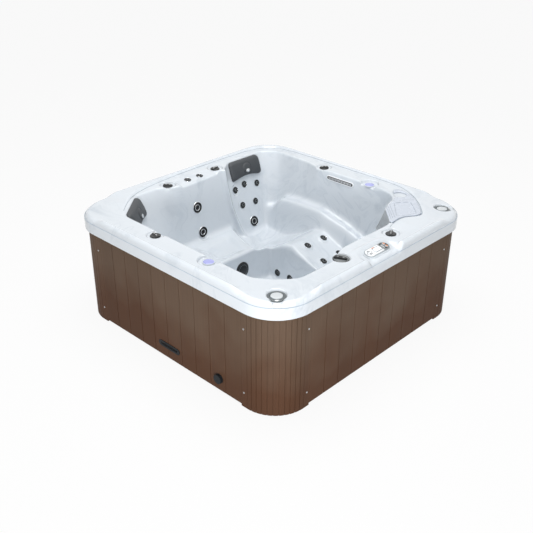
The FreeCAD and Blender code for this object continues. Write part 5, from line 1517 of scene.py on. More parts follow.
@dataclass
class ShellAssembly(SubAssembly):
    """The moulded shell with its seam lines."""

    step: float = 8.0
    quick_factor: float = 1.5
    line_width: float = 4.0
    line_proud: float = 0.7
    curve_rounds: int = 3
    large_seat: float = 50.0
    small_seat: float = 32.0
    spout_seat: float = 26.0
    spout_shifts: tuple[float, ...] = (-100.0, -50.0, 0.0, 50.0, 100.0)

    def build(self) -> ShellSculptor:
        """Sculpt the shell and its lines.

        Returns:
            The sculptor, whose rim heights place other pieces.
        """
        form = ShellForm()
        form.seats = self._seats()
        sculptor = ShellSculptor(form, self.step * (1.0))
        surface = sculptor.surface()
        mesh = bpy.data.meshes.new("shell_acrylic")
        mesh.from_pydata((surface.verts * MM).tolist(), [], surface.quads.tolist())
        mesh.materials.append(self.shop.palette["acrylic"])
        mesh.polygons.foreach_set("use_smooth", [True] * len(mesh.polygons))
        mesh.normals_split_custom_set_from_vertices(surface.normals.tolist())
        item = place_object("shell_acrylic", mesh)
        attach(item, self.shop.body("acrylic_shell"))
        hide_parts("acrylic_shell")
        LOG.info("shell_acrylic: %d faces", len(mesh.polygons))
        self._lines(sculptor)
        return sculptor

    def _seats(self) -> list[Seat]:
        """Flat seats below the jets, the suction cover and the spout.

        Returns:
            The seats, in the order of their nodes.
        """
        seats = []
        for kind, radius in (("large_jet_face", self.large_seat), ("small_jet_face", self.small_seat)):
            for node in self.shop.nodes(kind):
                joint = self.shop.joint(node)
                seats.append(Seat(np.array(joint["pos_m"]) / MM, np.array(joint["axis"]), radius))
        cover, spout = Suction(self.shop), Waterfall(self.shop)
        seats.append(Seat(np.array(cover.point), np.array(cover.normal), cover.radius + 2.0))
        for shift in self.spout_shifts:
            point = np.array(spout.point) + np.array((shift, 0.0, 0.0))
            seats.append(Seat(point, np.array(spout.normal), self.spout_seat))
        return seats

    def _lines(self, sculptor: ShellSculptor) -> None:
        """Thin lines at the foot of the bolster and above the skirt. The line at the foot of the bolster is
        painted shade: grey that stands for the shadow of the bolster's step.

        Args:
            sculptor: Maker of the shell, for its surface.
        """
        form = sculptor.form
        lines = Piece(self.shop, "shell_lines")
        up = Vector((0.0, 0.0, 1.0))
        path = rounded_path(form.lip_half - 0.5 * form.skirt_step, form.lip_corner)
        points = [Vector((x, y, form.skirt_top)) for x, y, _, _ in path]
        outs = [Vector((way_x, way_y, 0.0)) for _, _, way_x, way_y in path]
        ribbon(lines, points, outs, [up] * len(path), self.line_width, self.line_proud,
               "seam_grey")
        # Painted shade: the grey line along the bolster's foot stands for the shadow of its step.
        curve = np.array(form.bolster_foot)
        for _ in range(self.curve_rounds):
            first, last = curve[:-1], curve[1:]
            halves = np.stack((first * 0.75 + last * 0.25, first * 0.25 + last * 0.75), axis=1)
            curve = np.vstack((curve[:1], halves.reshape(-1, 2), curve[-1:]))
        ways = np.gradient(curve, axis=0)
        ways /= np.hypot(ways[:, 0], ways[:, 1])[:, None]
        points = [Vector((x, y, sculptor.height(x, y))) for x, y in curve.tolist()]
        aside = [Vector((y, -x, 0.0)) for x, y in ways.tolist()]
        ribbon(lines, points, [up] * len(points), aside, self.line_width, self.line_proud,
               "line_grey", False)
        lines.make("acrylic_shell", slot="acrylic")


@dataclass(frozen=True)
class Turning:
    """Turned part of a jet face, its profile in (radius, height) above the wall."""

    finish: str
    steps: int
    profile: Points
    shift: float = 0.0


@dataclass(frozen=True)
class Blades:
    """Curved blades that make the water swirl, in millimetres from the jet's middle."""

    count: int
    inner: float
    outer: float
    top: float
    foot: float = 0.8
    fall: float = 1.6
    half_width: float = 1.3
    sweep: float = math.radians(64.0)
    steps: int = 8


@dataclass
class Jets(SubAssembly):
    """Rotating jet faces, from the rim inward."""

    small: tuple[Turning, ...] = (
        Turning("chrome", 40, ((30.0, -0.5), (30.0, 2.4), (29.9, 4.0), (29.5, 5.0),
                               (28.9, 5.2), (28.4, 4.8))),
        Turning("black_plastic", 40, ((28.4, 4.8), (26.4, 3.0), (21.0, 1.6), (15.0, 1.3), (0.0, 1.2))),
        Turning("dial_grey", 32, ((12.0, 1.0), (11.6, 4.4), (10.6, 5.6), (9.4, 5.6), (8.6, 4.8)), 8.0),
        Turning("black_matt", 24, ((8.6, 4.8), (7.6, 1.8), (0.0, 1.4)), 8.0))
    large: tuple[Turning, ...] = (
        Turning("chrome", 56, ((48.0, -0.5), (48.0, 2.6), (47.4, 5.0), (46.2, 6.4),
                               (44.8, 6.8), (43.8, 6.2))),
        Turning("black_matt", 56, ((43.8, 6.2), (42.0, 3.0), (38.0, 1.5), (31.0, 1.6))),
        Turning("black_plastic", 56, ((31.0, 1.6), (29.6, 3.4), (27.6, 4.2), (26.0, 4.2))),
        Turning("steel", 48, ((26.0, 4.2), (25.0, 6.2), (23.4, 6.8), (21.6, 6.2), (20.6, 4.6))),
        Turning("black_plastic", 40, ((20.6, 4.6), (19.4, 2.2), (15.0, 1.8), (13.0, 4.6), (11.0, 5.4))),
        Turning("black_matt", 32, ((11.0, 5.4), (9.8, 1.6), (0.0, 1.0))))
    small_blades: Blades = Blades(3, 21.4, 26.0, 4.6)
    large_blades: Blades = Blades(6, 34.6, 42.0, 5.4)

    def build(self) -> None:
        """Make every jet face."""
        for kind, turnings, blades in (("small_jet_face", self.small, self.small_blades),
                                       ("large_jet_face", self.large, self.large_blades)):
            for node in self.shop.nodes(kind):
                piece, place = Piece(self.shop, node.replace("face", "trim")), self.shop.place(node)
                for turning in turnings:
                    spot = place @ Matrix.Translation((turning.shift, 0.0, 0.0))
                    piece.turn(turning.profile, turning.finish, spot, turning.steps)
                self._scoops(piece, place, blades)
                piece.make(node)

    @staticmethod
    def _scoops(piece: Piece, place: Matrix, blades: Blades) -> None:
        """Add the curved blades.

        Args:
            piece: Jet face that they are added to.
            place: Frame of the jet.
            blades: Their number and sizes.
        """
        steps, half, foot = blades.steps, blades.half_width, blades.foot
        for number in range(blades.count):
            verts, faces = [], []
            for step in range(steps + 1):
                share = step / steps
                angle = 2.0 * math.pi * number / blades.count + blades.sweep * share
                reach = blades.inner + (blades.outer - blades.inner) * share
                way = Vector((math.cos(angle), math.sin(angle), 0.0))
                side = Vector((-way.y, way.x, 0.0))
                rise = blades.top - blades.fall * share
                for across, height in ((-half, foot), (-0.6 * half, rise), (0.6 * half, rise), (half, foot)):
                    verts.append(way * reach + side * across + Vector((0.0, 0.0, height)))
            for first in (step * 4 + side_step for step in range(steps) for side_step in range(3)):
                faces.append((first, first + 1, first + 5, first + 4))
            faces += [(0, 3, 2, 1), tuple(steps * 4 + index for index in range(4))]
            piece.add(verts, faces, "black_plastic", place)


@dataclass
class RimControls(SubAssembly):
    """Air knobs, the diverter handle and the cup lights on the ledge; angles in degrees."""

    knob_radius: float = 38.0
    knob_step: float = 2.0
    knob_turn: float = 35.0
    knob_turn_between: float = 67.0
    knob_base: float = 7.5
    knob_height: float = 17.0
    handle_radius: float = 54.0
    handle_step: float = 2.4
    handle_turn: float = 20.0
    handle_shift: float = -8.0
    grip_share: float = 0.88
    grip_foot: float = -20.0
    handle_base: float = 9.0
    handle_height: float = 22.0
    lens_radius: float = 42.0

    @staticmethod
    def _knob(radius: float, base: float, height: float, step: float) -> Surface:
        """Surface of a knob with a tapered grip bar across a low disc.

        Args:
            radius: Radius of the disc.
            base: Height of the disc.
            height: Height of the grip bar.
            step: Edge length of the mesh.

        Returns:
            The surface.
        """

        def shape(x: Grid, y: Grid, z: Grid) -> Grid:
            """Field of the knob.

            Args:
                x: Places along X.
                y: Places along Y.
                z: Places along Z.

            Returns:
                Distance-like field, negative in the knob.
            """
            disc = smooth_max(np.hypot(x, y) - radius, z - base, 5.0)
            taper = 0.30 - 0.08 * x / radius
            grip_side = np.abs(y) - radius * taper
            grip_end = np.hypot(x * 0.94, y * 0.6) - 0.9 * radius
            crest = z - height + 0.10 * radius * (x / radius) ** 2
            grip = smooth_max(smooth_max(grip_side, grip_end, 4.0), crest, 5.0)
            return np.maximum(smooth_min(disc, grip, 4.0), -z)

        return sculpt(shape, (-radius, -radius, 0.0), (radius, radius, height), step)

    def build(self) -> None:
        """Make all rim controls."""
        radius = self.knob_radius
        surface = self._knob(radius, self.knob_base, self.knob_height, self.knob_step)
        inlay = ellipse(0.62 * radius, 0.14 * radius, 28)
        for number, node in enumerate(self.shop.nodes("air_knob")):
            turn = math.radians(self.knob_turn + self.knob_turn_between * number)
            place = self.shop.place(node) @ Matrix.Rotation(turn, 4, "Z")
            piece = Piece(self.shop, node + "_cap")
            piece.add_surface(surface, "black_plastic", place)
            crest = place @ Matrix.Translation((0.0, 0.0, self.knob_height - 1.2))
            piece.slab(inlay, -1.0, 1.0, "steel", crest, 0.6)
            piece.make(node)
        self._diverter()
        self._lenses()

    def _diverter(self) -> None:
        """The large handle that sends water from side to side."""
        radius = self.handle_radius
        surface = self._knob(self.grip_share * radius, self.grip_foot, self.handle_height, self.handle_step)
        place = self.shop.place("diverter_handle") @ Matrix.Rotation(math.radians(self.handle_turn), 4, "Z")
        piece = Piece(self.shop, "diverter_grip")
        grip = place @ Matrix.Translation((0.0, self.handle_shift, 0.0))
        piece.add_surface(surface, "black_matt", grip)
        piece.slab(oval(radius, 0.26 * radius, 10), self.handle_height - 3.0, self.handle_height - 0.4,
                   "dial_grey", grip @ Matrix.Rotation(0.5 * math.pi, 4, "Z"), 1.0)
        base = self.handle_base
        piece.turn(((radius, 0.0), (radius + 1.5, 1.5), (radius + 1.5, base - 4.5),
                    (radius - 0.5, base - 2.5), (radius - 3.0, base - 2.0)),
                   "black_plastic", place, 64)
        piece.turn(((radius - 3.0, base - 2.0), (radius - 4.5, base - 1.0), (radius * 0.6, base + 0.6),
                    (radius * 0.3, base + 1.2), (0.0, base + 1.4)), "dial_grey", place, 64)
        piece.make("diverter_handle")

    def _lenses(self) -> None:
        """Two lavender lenses, each in a pale bezel."""
        low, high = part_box("cup_light_lenses")
        piece = Piece(self.shop, "cup_lights")
        radius = self.lens_radius
        spots = ((low.x / MM + radius, high.y / MM - radius), (high.x / MM - radius, low.y / MM + radius))
        for x, y in spots:
            place = Matrix.Translation((x, y, low.z / MM))
            piece.turn(((radius, 0.0), (radius, 5.0), (radius - 1.5, 7.0), (radius - 5.0, 7.2),
                        (radius - 6.0, 6.0)), "pale_grey_plastic", place)
            piece.turn(((radius - 6.0, 6.0), (radius - 9.0, 8.6), (radius * 0.6, 10.4), (radius * 0.3, 11.4),
                        (0.0, 11.8)), "lavender_lens", place)
        piece.make("cup_light_lenses")


@dataclass
class Speakers(SubAssembly):
    """Pop-up speakers: a pale dome cap in a thick grey ring."""

    cap_radius: float = 39.6
    ring_inner: float = 41.4
    ring_outer: float = 60.5
    ring_floor: float = -10.0
    cap_drop: float = 12.0

    def build(self) -> None:
        """Make the caps and rings."""
        for node in self.shop.nodes("speaker_"):
            if node == "speaker_housings":
                continue
            middle = self.shop.middle(node)
            bottom, top = (corner.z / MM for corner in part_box(node))
            place = Matrix.Translation((middle.x, middle.y, top))
            radius = self.cap_radius
            cap = Piece(self.shop, f"{node}_cap")
            low = bottom - top
            cap.turn(((0.0, low), (radius - 2.0, low), (radius, low + 2.0), (radius, -3.2),
                      (radius - 0.8, -1.8), (radius - 3.0, -1.0)), "grey_plastic", place)
            cap.turn(((radius - 3.0, -1.0), (radius - 4.6, -1.8), (radius - 6.0, -1.2), (radius * 0.7, -0.5),
                      (radius * 0.4, -0.1), (0.0, 0.0)), "white_plastic", place)
            cap.make(node)
            ring = Piece(self.shop, f"{node}_ring")
            floor, inner, outer = self.ring_floor, self.ring_inner, self.ring_outer
            ring.turn(((inner, floor - self.cap_drop), (inner, floor + 4.0), (inner + 1.5, floor + 6.4),
                       (inner + 5.0, floor + 7.4), (outer - 4.0, floor + 7.0), (outer - 0.8, floor + 5.0),
                       (outer, floor + 1.0), (outer, floor - 2.0)), "ring_grey", place, 64)
            self._latch(ring, middle, top + floor)
            ring.make("speaker_housings", slot="speaker_plastic")

    def _latch(self, ring: Piece, middle: Vector, top: float) -> None:
        """Small plated catch on the ring's outer side.

        Args:
            ring: Piece that it is added to.
            middle: Middle of the speaker.
            top: Height of the ring's floor.
        """
        way = math.atan2(middle.y, middle.x)
        spot = 0.5 * (self.ring_inner + self.ring_outer) + 1.0
        place = (Matrix.Translation((middle.x, middle.y, top)) @ Matrix.Rotation(way, 4, "Z")
                 @ Matrix.Translation((spot, 0.0, 0.0)))
        ring.slab(ellipse(6.0, 15.0, 24), 2.0, 10.0, "steel", place, 2.5)


@dataclass
class ControlPanel(SubAssembly):
    """Panel in its sloping bay; places are along the panel's length and width."""

    length: float = 252.0
    width: float = 96.0
    point: Place = (960.0, -8.0, 830.45)
    normal: Place = (0.23787, 0.0, 0.9713)
    window_length: float = 64.0
    window_width: float = 30.0
    rim: float = 30.0
    split_share: float = 0.16

    def build(self) -> None:
        """Make the case, the window and the four buttons."""
        place = self._place()
        case = Piece(self.shop, "panel_bezel")
        case.slab(oval(self.length, self.width), -4.0, 5.0, "pale_grey_plastic", place, 3.0)
        case.slab(oval(self.length - 18.0, self.width - 18.0), 4.0, 8.0, "grey_plastic", place, 1.5)
        self._halves(case, place)
        case.slab(self._box(0.0, 0.0, self.window_width + 12.0, self.window_length + 12.0, 6.0), 9.0, 13.0,
                  "grey_plastic", place, 1.2)
        self._marks(case, place)
        case.make("panel_case")
        window = Piece(self.shop, "panel_screen")
        window.slab(self._box(0.0, 0.0, self.window_width, self.window_length, 4.0), 12.6, 15.2,
                    "screen_white", place, 0.8)
        window.make("panel_window")
        for node in self.shop.nodes("panel_button"):
            self._button(node, place)

    def _place(self) -> Matrix:
        """Panel frame, local Y along the panel's length.

        Returns:
            Matrix from the panel's frame to the tub's.
        """
        up, along = Vector(self.normal).normalized(), Vector((0.0, 1.0, 0.0))
        across = along.cross(up).normalized()
        basis = Matrix((across, along, up)).transposed().to_4x4()
        return Matrix.Translation(Vector(self.point)) @ basis

    @staticmethod
    def _box(x: float, y: float, width: float, length: float, corner: float) -> Outline:
        """Rectangle with round corners.

        Args:
            x: Middle across the panel.
            y: Middle along the panel.
            width: Size across.
            length: Size along.
            corner: Corner radius.

        Returns:
            Counter-clockwise points.
        """
        points = []
        for turn, side_x, side_y in ((0.0, 1, 1), (0.5, -1, 1), (1.0, -1, -1), (1.5, 1, -1)):
            for step in range(6):
                angle = math.pi * (turn + 0.1 * step)
                points.append((x + side_x * (width / 2.0 - corner) + corner * math.cos(angle),
                               y + side_y * (length / 2.0 - corner) + corner * math.sin(angle)))
        return points

    def _halves(self, case: Piece, place: Matrix) -> None:
        """White key end at -Y and grey jet end at +Y.

        Args:
            case: Piece that it is added to.
            place: Frame of the panel.
        """
        outline = oval(self.length - self.rim, self.width - self.rim)
        radius = (self.width - self.rim) / 2.0
        split = self.split_share * self.length
        white = [(x, y) for x, y in outline if y <= split]
        first = next(index for index, (x, _) in enumerate(white) if x < 0.0)
        white = white[first:] + white[:first]
        white += [(radius, split), (-radius, split)]
        case.slab(white, 7.0, 12.0, "frame_white", place, 1.2)
        grey = [(x, y) for x, y in outline if y > split]
        grey += [(-radius, split + 1.0), (radius, split + 1.0)]
        case.slab(grey, 7.0, 11.5, "dial_grey", place, 1.2)

    def _marks(self, case: Piece, place: Matrix) -> None:
        """Plain bars and dots beside the buttons.

        Args:
            case: Piece that it is added to.
            place: Frame of the panel.
        """
        dark, warm = "black_matt", "mark_orange"
        for x, y, width, length, finish in (
                (-13, -70, 4, 10, dark), (13, -70, 4, 10, dark),
                (0, -100, 9, 4, dark), (0, -62, 10, 4, dark),
                (-24, -18, 5, 26, warm), (0, 60, 34, 5, "pale_grey_plastic"),
                (22, 72, 7, 22, dark), (-23, 62, 8, 20, dark), (0, 101, 20, 6, dark)):
            case.slab(self._box(x, y, width, length, 1.1), 11.0, 12.7, finish, place)

    def _button(self, node: str, place: Matrix) -> None:
        """Rubber button with a small dark or orange mark.

        Args:
            node: Node of the button.
            place: Frame of the panel.
        """
        middle = place.inverted() @ self.shop.middle(node)
        piece = Piece(self.shop, node + "_cap")
        spot = place @ Matrix.Translation((middle.x, middle.y, 0.0))
        top = middle.z + 6.0
        plain, ink, wide = (("white_plastic", "black_matt", 4.4) if middle.y < 0.0
                            else ("pale_grey_plastic", "mark_orange", 7.6))
        piece.turn(((9.0, 10.0), (9.0, top - 1.6), (8.2, top - 0.5), (6.0, top), (0.0, top)),
                   plain, spot, 28)
        piece.turn(((wide + 0.2, top - 0.9), (wide, top + 0.25), (0.0, top + 0.3)),
                   ink, spot, 20)
        piece.make(node)


@dataclass
class FilterCorner(SubAssembly):
    """Filter lid with its leaning ribbed weir; weir and bands lie along and across the diagonal."""

    outline: Points = (
        (768, 404), (788, 404), (783, 450), (781, 496), (788, 530), (803, 562),
        (821, 590), (840, 617), (848, 640), (848, 664), (838, 688), (810, 721),
        (767, 769), (726, 809), (686, 846), (632, 888), (570, 924), (512, 944),
        (450, 950), (440, 900), (480, 852), (530, 806), (556, 740), (582, 672),
        (600, 595), (620, 552))
    top: float = 846.0
    under: float = 832.0
    dimple: tuple[float, float, float] = (528.0, 862.0, 58.0)
    dimple_depth: float = 5.0
    back_step: float = 5.0
    back_line: tuple[float, float, float, float] = (580.0, 704.0, -0.8, 0.6)
    inset: Points = ((600, 688), (634, 737), (675, 786), (735, 736), (822, 650),
                     (799, 580), (774, 530), (752, 505))
    inset_depth: float = 2.4
    inset_blur: float = 8.0
    lid_blur: float = 9.0
    lid_edge: float = 6.0
    lid_step: float = 4.0
    weir: tuple[tuple[float, float, float], ...] = (
        (787, -196, 635), (827, -254, 838), (787, 82, 635), (827, -39, 838))
    rib_count: int = 9
    rib_depth: float = 5.0
    plate_depth: float = 9.0
    bands: tuple[tuple[float, float, float], ...] = (
        (842, -222, -4), (856, -212, 16), (873, -202, 40))
    band_proud: float = 0.8
    plate_faces: tuple[tuple[int, ...], ...] = ((0, 2, 6, 4), (1, 5, 7, 3), (0, 1, 3, 2), (4, 6, 7, 5),
                                                (2, 3, 7, 6), (0, 4, 5, 1))

    @classmethod
    def lid_distance(cls, plan: Raster) -> Grid:
        """Distance to the lid's outline over the plan."""
        return plan.blur(plan.polygon(cls.outline), cls.lid_blur)

    def build(self, sculptor: ShellSculptor) -> None:
        """Make the lid with its weir.

        Args:
            sculptor: Gives the outline field shared with the shell's seat.
        """
        plan, edge = sculptor.plan, sculptor.lid_edge
        x0, y0, dimple = self.dimple
        line_x, line_y, way_x, way_y = self.back_line
        inset = plan.blur(plan.polygon(self.inset), self.inset_blur)

        def shape(x: Grid, y: Grid, z: Grid) -> Grid:
            """Field of the lid.

            Args:
                x: Places along X.
                y: Places along Y.
                z: Places along Z.

            Returns:
                Distance-like field, negative in the lid.
            """
            behind = (x - line_x) * way_x + (y - line_y) * way_y
            crest = self.top - self.back_step * smooth_step(-5.0, 7.0, behind)
            crest = crest - self.inset_depth * smooth_step(2.0, -3.0, plan.sample(inset, x, y))
            reach = np.hypot(x - x0, y - y0)
            crest = crest - self.dimple_depth * smooth_step(dimple + 3.0, dimple - 6.0, reach)
            lid = smooth_max(plan.sample(edge, x, y), z - crest, self.lid_edge)
            return np.maximum(lid, self.under - z)

        xs, ys = zip(*self.outline)
        surface = sculpt(shape, (min(xs), min(ys), self.under), (max(xs), max(ys), self.top), self.lid_step)
        piece = Piece(self.shop, "filter_cover")
        piece.add_surface(surface, "lid_plastic", Matrix.Identity(4))
        self._weir(piece)
        self._bands(piece)
        piece.make("filter_lid", smooth=50.0)

    def _corner(self, reach: float, aside: float, height: float) -> Vector:
        """Point from its distance along and across the corner's diagonal."""
        share = 1.0 / math.sqrt(2.0)
        return Vector(((reach - aside) * share, (reach + aside) * share, height))

    def _weir(self, piece: Piece) -> None:
        """Leaning plate with ribs fanning to its foot and sunk slots between them, whose dark colour is
        painted shade.

        Args:
            piece: Piece that it is added to.
        """
        low_foot, low_head, high_foot, high_head = (np.array(corner) for corner in self.weir)
        for number in range(self.rib_count):
            # The sunk slots take dark_rubber: painted shade for the shadow in the slots between the ribs.
            for start, end, sunk, finish in ((0.0, 0.5, 0.0, "white_plastic"),
                                             (0.5, 1.0, self.rib_depth, "dark_rubber")):
                verts = []
                for share in ((number + start) / self.rib_count, (number + end) / self.rib_count):
                    for low, high in ((low_foot, high_foot), (low_head, high_head)):
                        reach, aside, height = (low + (high - low) * share).tolist()
                        verts.append(self._corner(reach + sunk, aside, height))
                        verts.append(self._corner(reach + self.plate_depth, aside, height))
                piece.add(verts, self.plate_faces, finish)

    def _bands(self, piece: Piece) -> None:
        """Fine raised bands along the lid's near edge, and grey lines of painted shade along the inset's
        edges that stand for the shading of its step.

        Args:
            piece: Piece that it is added to.
        """
        up = Vector((0.0, 0.0, 1.0))
        outward = self._corner(1.0, 0.0, 0.0)
        for reach, low, high in self.bands:
            path = [self._corner(reach, aside, self.top) for aside in np.linspace(low, high, 20)]
            ribbon(piece, path, [up] * len(path), [outward] * len(path), 2.4, self.band_proud,
                   "line_grey", False)
        # Painted shade: grey lines along the inset's edges stand for the shading of its shallow step.
        corners = [Vector((x, y, self.top - 0.9)) for x, y in self.inset]
        for first, last in zip(corners, corners[1:] + corners[:1]):
            way = (last - first).normalized()
            aside = Vector((-way.y, way.x, 0.0))
            ends = (first + 7.0 * way, last - 7.0 * way)
            ribbon(piece, ends, [up] * 2, [aside] * 2, 2.6, self.band_proud, "line_grey", False)


@dataclass
class Waterfall(SubAssembly):
    """Spout below the rim: a pale frame round a dark striped slot; the frame's and bars' brighter white is
    partly their own colour, partly painted highlight.
    """

    point: Place = (-50.0, 860.05, 786.0)
    normal: Place = (-0.0027, -0.991, 0.134)
    length: float = 276.0
    height: float = 40.0

    def build(self) -> None:
        """Make the spout."""
        place = frame_at(self.point, self.normal, 90.0)
        piece = Piece(self.shop, "waterfall_frame")
        # Frame and bars in frame_white: their own pale colour, brightened as a painted highlight.
        piece.slab(oval(self.length, self.height), -3.0, 6.0, "frame_white", place, 3.0)
        piece.slab(oval(self.length - 14.0, self.height - 15.0), 5.0, 6.6, "black_matt", place, 0.5)
        for shift in (-4.4, 4.4):
            bar = place @ Matrix.Translation((shift, 0.0, 0.0))
            piece.slab(oval(self.length - 34.0, 3.2, 4), 6.0, 7.6, "frame_white", bar, 0.4)
        piece.make("waterfall_spout")


@dataclass
class Suction(SubAssembly):
    """Suction cover low in the footwell."""

    point: Place = (-305.2, -8.0, 205.0)
    normal: Place = (0.9944, 0.0, 0.1055)
    radius: float = 66.0
    slot_rings: tuple[tuple[float, int], ...] = ((0.66, 16), (0.42, 10))

    def build(self) -> None:
        """Make the domed cover with its slots."""
        place = frame_at(self.point, self.normal, 90.0)
        piece = Piece(self.shop, "suction_grille")
        radius = self.radius
        piece.turn(((radius, -1.0), (radius, 3.0), (radius - 3.0, 6.0), (radius - 9.0, 7.5),
                    (radius - 12.0, 6.0), (radius - 15.0, 8.0), (radius * 0.5, 13.0), (radius * 0.2, 15.0),
                    (0.0, 15.3)), "black_plastic", place, 64)
        for ring, count in self.slot_rings:
            for number in range(count):
                turn = 2.0 * math.pi * number / count
                spot = place @ Matrix.Rotation(turn, 4, "Z") @ Matrix.Translation((ring * radius, 0.0, 0.0))
                piece.slab(oval(13.0, 4.0, 4), 8.0, 16.6 - 8.0 * ring, "dark_line", spot, 0.8)
        piece.make("suction_cover")


@dataclass
class Pillow(SubAssembly):
    """Moulded head pillow with a round boss, a hollow lower edge and a small bare badge."""

    name: str
    node: str
    point: Place
    normal: Place
    width: float = 352.0
    height: float = 180.0
    lift: float = 31.0
    thick: float = 48.0
    hollow: float = 34.0
    corner: float = 40.0
    step: float = 4.5
    boss: float = 48.0
    boss_up: float = 6.0
    badge_down: float = 14.0
    crown: float = 7.0
    badge: tuple[float, float] = (22.0, 16.0)

    def _shape(self, x: Grid, y: Grid, z: Grid) -> Grid:
        """Field of the pillow in its own frame, local Y up.

        Args:
            x: Places along the width.
            y: Places along the height.
            z: Places through the thickness.

        Returns:
            Distance-like field, negative in the pillow.
        """
        wide, high = self.width / 2.0, self.height / 2.0
        box = rounded_box(x, y, (wide, high), self.corner)
        lower = (-high + self.hollow * (1.0 - (x / wide) ** 2)) - y
        outline = smooth_max(box, 0.94 * lower, 26.0)
        above = y - self.boss_up
        reach = np.hypot(x, above)
        crest = self.thick - 9.0 * (x / wide) ** 2 - 9.0 * (above / high) ** 2
        crest = crest + (self.crown - 1.0) * smooth_step(self.boss, self.boss - 16.0, reach)
        crest = crest - 3.0 * np.exp(-((reach - self.boss - 1.0) / 4.0) ** 2)
        return np.maximum(smooth_max(outline, z - crest, 34.0), 1.0 - z)

    def build(self) -> None:
        """Make the pillow and its badge."""
        place = frame_at(self.point, self.normal) @ Matrix.Translation((0.0, self.lift, 0.0))
        wide, high = self.width / 2.0, self.height / 2.0
        surface = sculpt(self._shape, (-wide, -high, 0.0), (wide, high, self.thick + self.crown), self.step)
        piece = Piece(self.shop, self.name)
        piece.add_surface(surface, "dark_rubber", place)
        outline = ellipse(*self.badge, 32)
        spot = place @ Matrix.Translation((0.0, -self.badge_down, self.thick + 1.0))
        piece.slab(outline, -4.0, 5.2, "steel", spot, 1.6)
        piece.slab([(x * 0.55, y * 0.5) for x, y in outline], 3.0, 6.0, "chrome", spot, 1.0)
        item = piece.make(self.node)


@dataclass
class Cabinet(SubAssembly):
    """Plank cabinet, base, timbers and equipment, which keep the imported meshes."""

    finishes: tuple[tuple[str, str], ...] = (
        ("side_panel_left", "planks"), ("side_panel_back", "planks"), ("side_panel_right", "planks"),
        ("access_panel", "planks"), ("corner_trim", "planks"), ("timber_frame", "timber"),
        ("base_pan", "pan_plastic"), ("cabinet_screws", "steel"), ("vent_grille", "vent_black"),
        ("drain_valve", "black_plastic"), ("drain_cap", "vent_black"), ("plumbing_pipes", "white_plastic"),
        ("jet_bodies", "white_plastic"), ("valve_bodies", "white_plastic"),
        ("speaker_housings", "grey_plastic"), ("filter_bucket", "white_plastic"),
        ("filter_cartridge", "filter_cloth"), ("pump_casing", "black_matt"),
        ("pump_motor", "motor_paint"), ("pump_impeller", "grey_plastic"), ("heater_tube", "steel"),
        ("control_box", "box_paint"))

    def build(self) -> None:
        """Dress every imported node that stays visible."""
        for node, finish in self.finishes:
            self.shop.dress(node, finish)


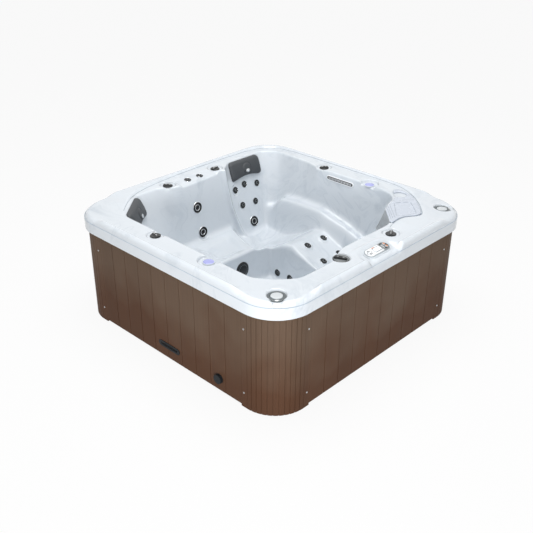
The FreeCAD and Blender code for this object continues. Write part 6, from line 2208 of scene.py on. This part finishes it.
@dataclass
class Studio:
    """Camera, floor and soft light."""

    camera_place: Place = (3.5337, -3.7373, 3.1007)
    azimuth: float = 43.78
    elevation: float = 28.16
    roll: float = 0.35
    lens: float = 51.643
    sensor: float = 36.0
    white: Colour = (1.0, 1.0, 1.0)
    floor_half: float = 40.0
    floor_dark: Colour = (0.80, 0.80, 0.80)
    floor_light: Colour = (0.83, 0.83, 0.83)
    floor_bounce: Colour = (0.42, 0.42, 0.42)
    floor_glow: float = 0.91
    world_light: float = 0.42
    key_place: Place = (0.1, -0.2, 5.1)
    key_size: float = 4.4
    key_power: float = 178.0
    fill_place: Place = (4.6, -5.1, 0.8)
    fill_size: float = 2.6
    fill_power: float = 380.0
    aim: Place = (0.0, 0.0, 0.4)

    def build(self) -> None:
        """Set up the scene."""
        bpy.context.scene.view_settings.view_transform = "Standard"
        self._camera()
        self._world()
        self._floor()
        self._lamp("key", self.key_place, self.key_size, self.key_power)
        self._lamp("front_fill", self.fill_place, self.fill_size, self.fill_power)

    def _camera(self) -> None:
        """Camera at the photograph's viewing angle."""
        turn, rise, roll = (math.radians(angle) for angle in (self.azimuth, self.elevation, self.roll))
        back = Vector((math.sin(turn) * math.cos(rise), -math.cos(turn) * math.cos(rise), math.sin(rise)))
        right = Vector((math.cos(turn), math.sin(turn), 0.0))
        up = back.cross(right)
        right, up = (right * math.cos(roll) + up * math.sin(roll),
                     up * math.cos(roll) - right * math.sin(roll))
        data = bpy.data.cameras.new("camera")
        data.sensor_width, data.lens = self.sensor, self.lens
        item = place_object("camera", data)
        basis = Matrix((right, up, back)).transposed().to_4x4()
        item.matrix_world = Matrix.Translation(self.camera_place) @ basis
        bpy.context.scene.camera = item

    def _world(self) -> None:
        """White for the camera and in reflections, plain soft light for the rest."""
        world = bpy.data.worlds.new("studio")
        world.use_nodes = True
        bpy.context.scene.world = world
        tree = Tree(world.node_tree)
        strength = tree.remap(tree.plainly_seen(), 0.0, 1.0, self.world_light, 1.0)
        tree.fill(world.node_tree.nodes["Background"], {"Color": rgba(self.white), "Strength": strength})

    def _floor(self) -> None:
        """Pale floor that keeps the shadow."""
        material, tree, shader = new_material("floor")
        grain = tree.add("TexNoise", {"Scale": 3.0, "Detail": 3.0})
        tone = tree.mix(grain.outputs["Fac"], rgba(self.floor_dark), rgba(self.floor_light))
        soft = tree.add("LightPath").outputs["Is Diffuse Ray"]
        tone = tree.mix(soft, tone, rgba(self.floor_bounce))
        tree.fill(shader, {"Base Color": tone, "Roughness": 0.9})
        glow = tree.add("Emission", {"Color": rgba(self.white), "Strength": 1.0})
        share = tree.maths("MULTIPLY", tree.plainly_seen(), self.floor_glow)
        blended = tree.add("MixShader", {0: share, 1: shader.outputs[0], 2: glow.outputs[0]})
        tree.fill(tree.tree.nodes["Material Output"], {"Surface": blended.outputs[0]})
        half = self.floor_half
        mesh = bpy.data.meshes.new("floor")
        corners = ((-half, -half, 0.0), (half, -half, 0.0), (half, half, 0.0), (-half, half, 0.0))
        mesh.from_pydata(corners, [], [(0, 1, 2, 3)])
        mesh.materials.append(material)
        place_object("floor", mesh)

    def _lamp(self, name: str, place: Place, size: float, power: float) -> None:
        """Round area lamp that points at the tub.

        Args:
            name: Name of the lamp.
            place: Where it stands, in metres.
            size: Its width.
            power: Its power in watts.
        """
        data = bpy.data.lights.new(name, "AREA")
        data.shape, data.energy, data.size = "DISK", power, size
        item = place_object(name, data)
        item.location = place
        item.rotation_euler = (Vector(self.aim) - Vector(place)).to_track_quat("-Z", "Y").to_euler()


def main() -> None:
    """Build the dressed hot tub in the studio."""
    logging.basicConfig(level=logging.INFO, format="%(name)s %(message)s")
    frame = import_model()
    shop = Workshop(frame, Palette())
    Studio().build()
    sculptor = ShellAssembly(shop).build()
    Jets(shop).build()
    RimControls(shop).build()
    Speakers(shop).build()
    ControlPanel(shop).build()
    FilterCorner(shop).build(sculptor)
    Waterfall(shop).build()
    Suction(shop).build()
    Pillow(shop, "headrest_lounger", "pillow_lounger", (-878.7, 586.8, 711.0), (0.945, -0.006, 0.327)).build()
    Pillow(shop, "headrest_corner", "pillow_corner", (-732.4, -672.4, 720.0), (0.69, 0.611, 0.389)).build()
    Cabinet(shop).build()


if __name__ == "__main__":
    main()
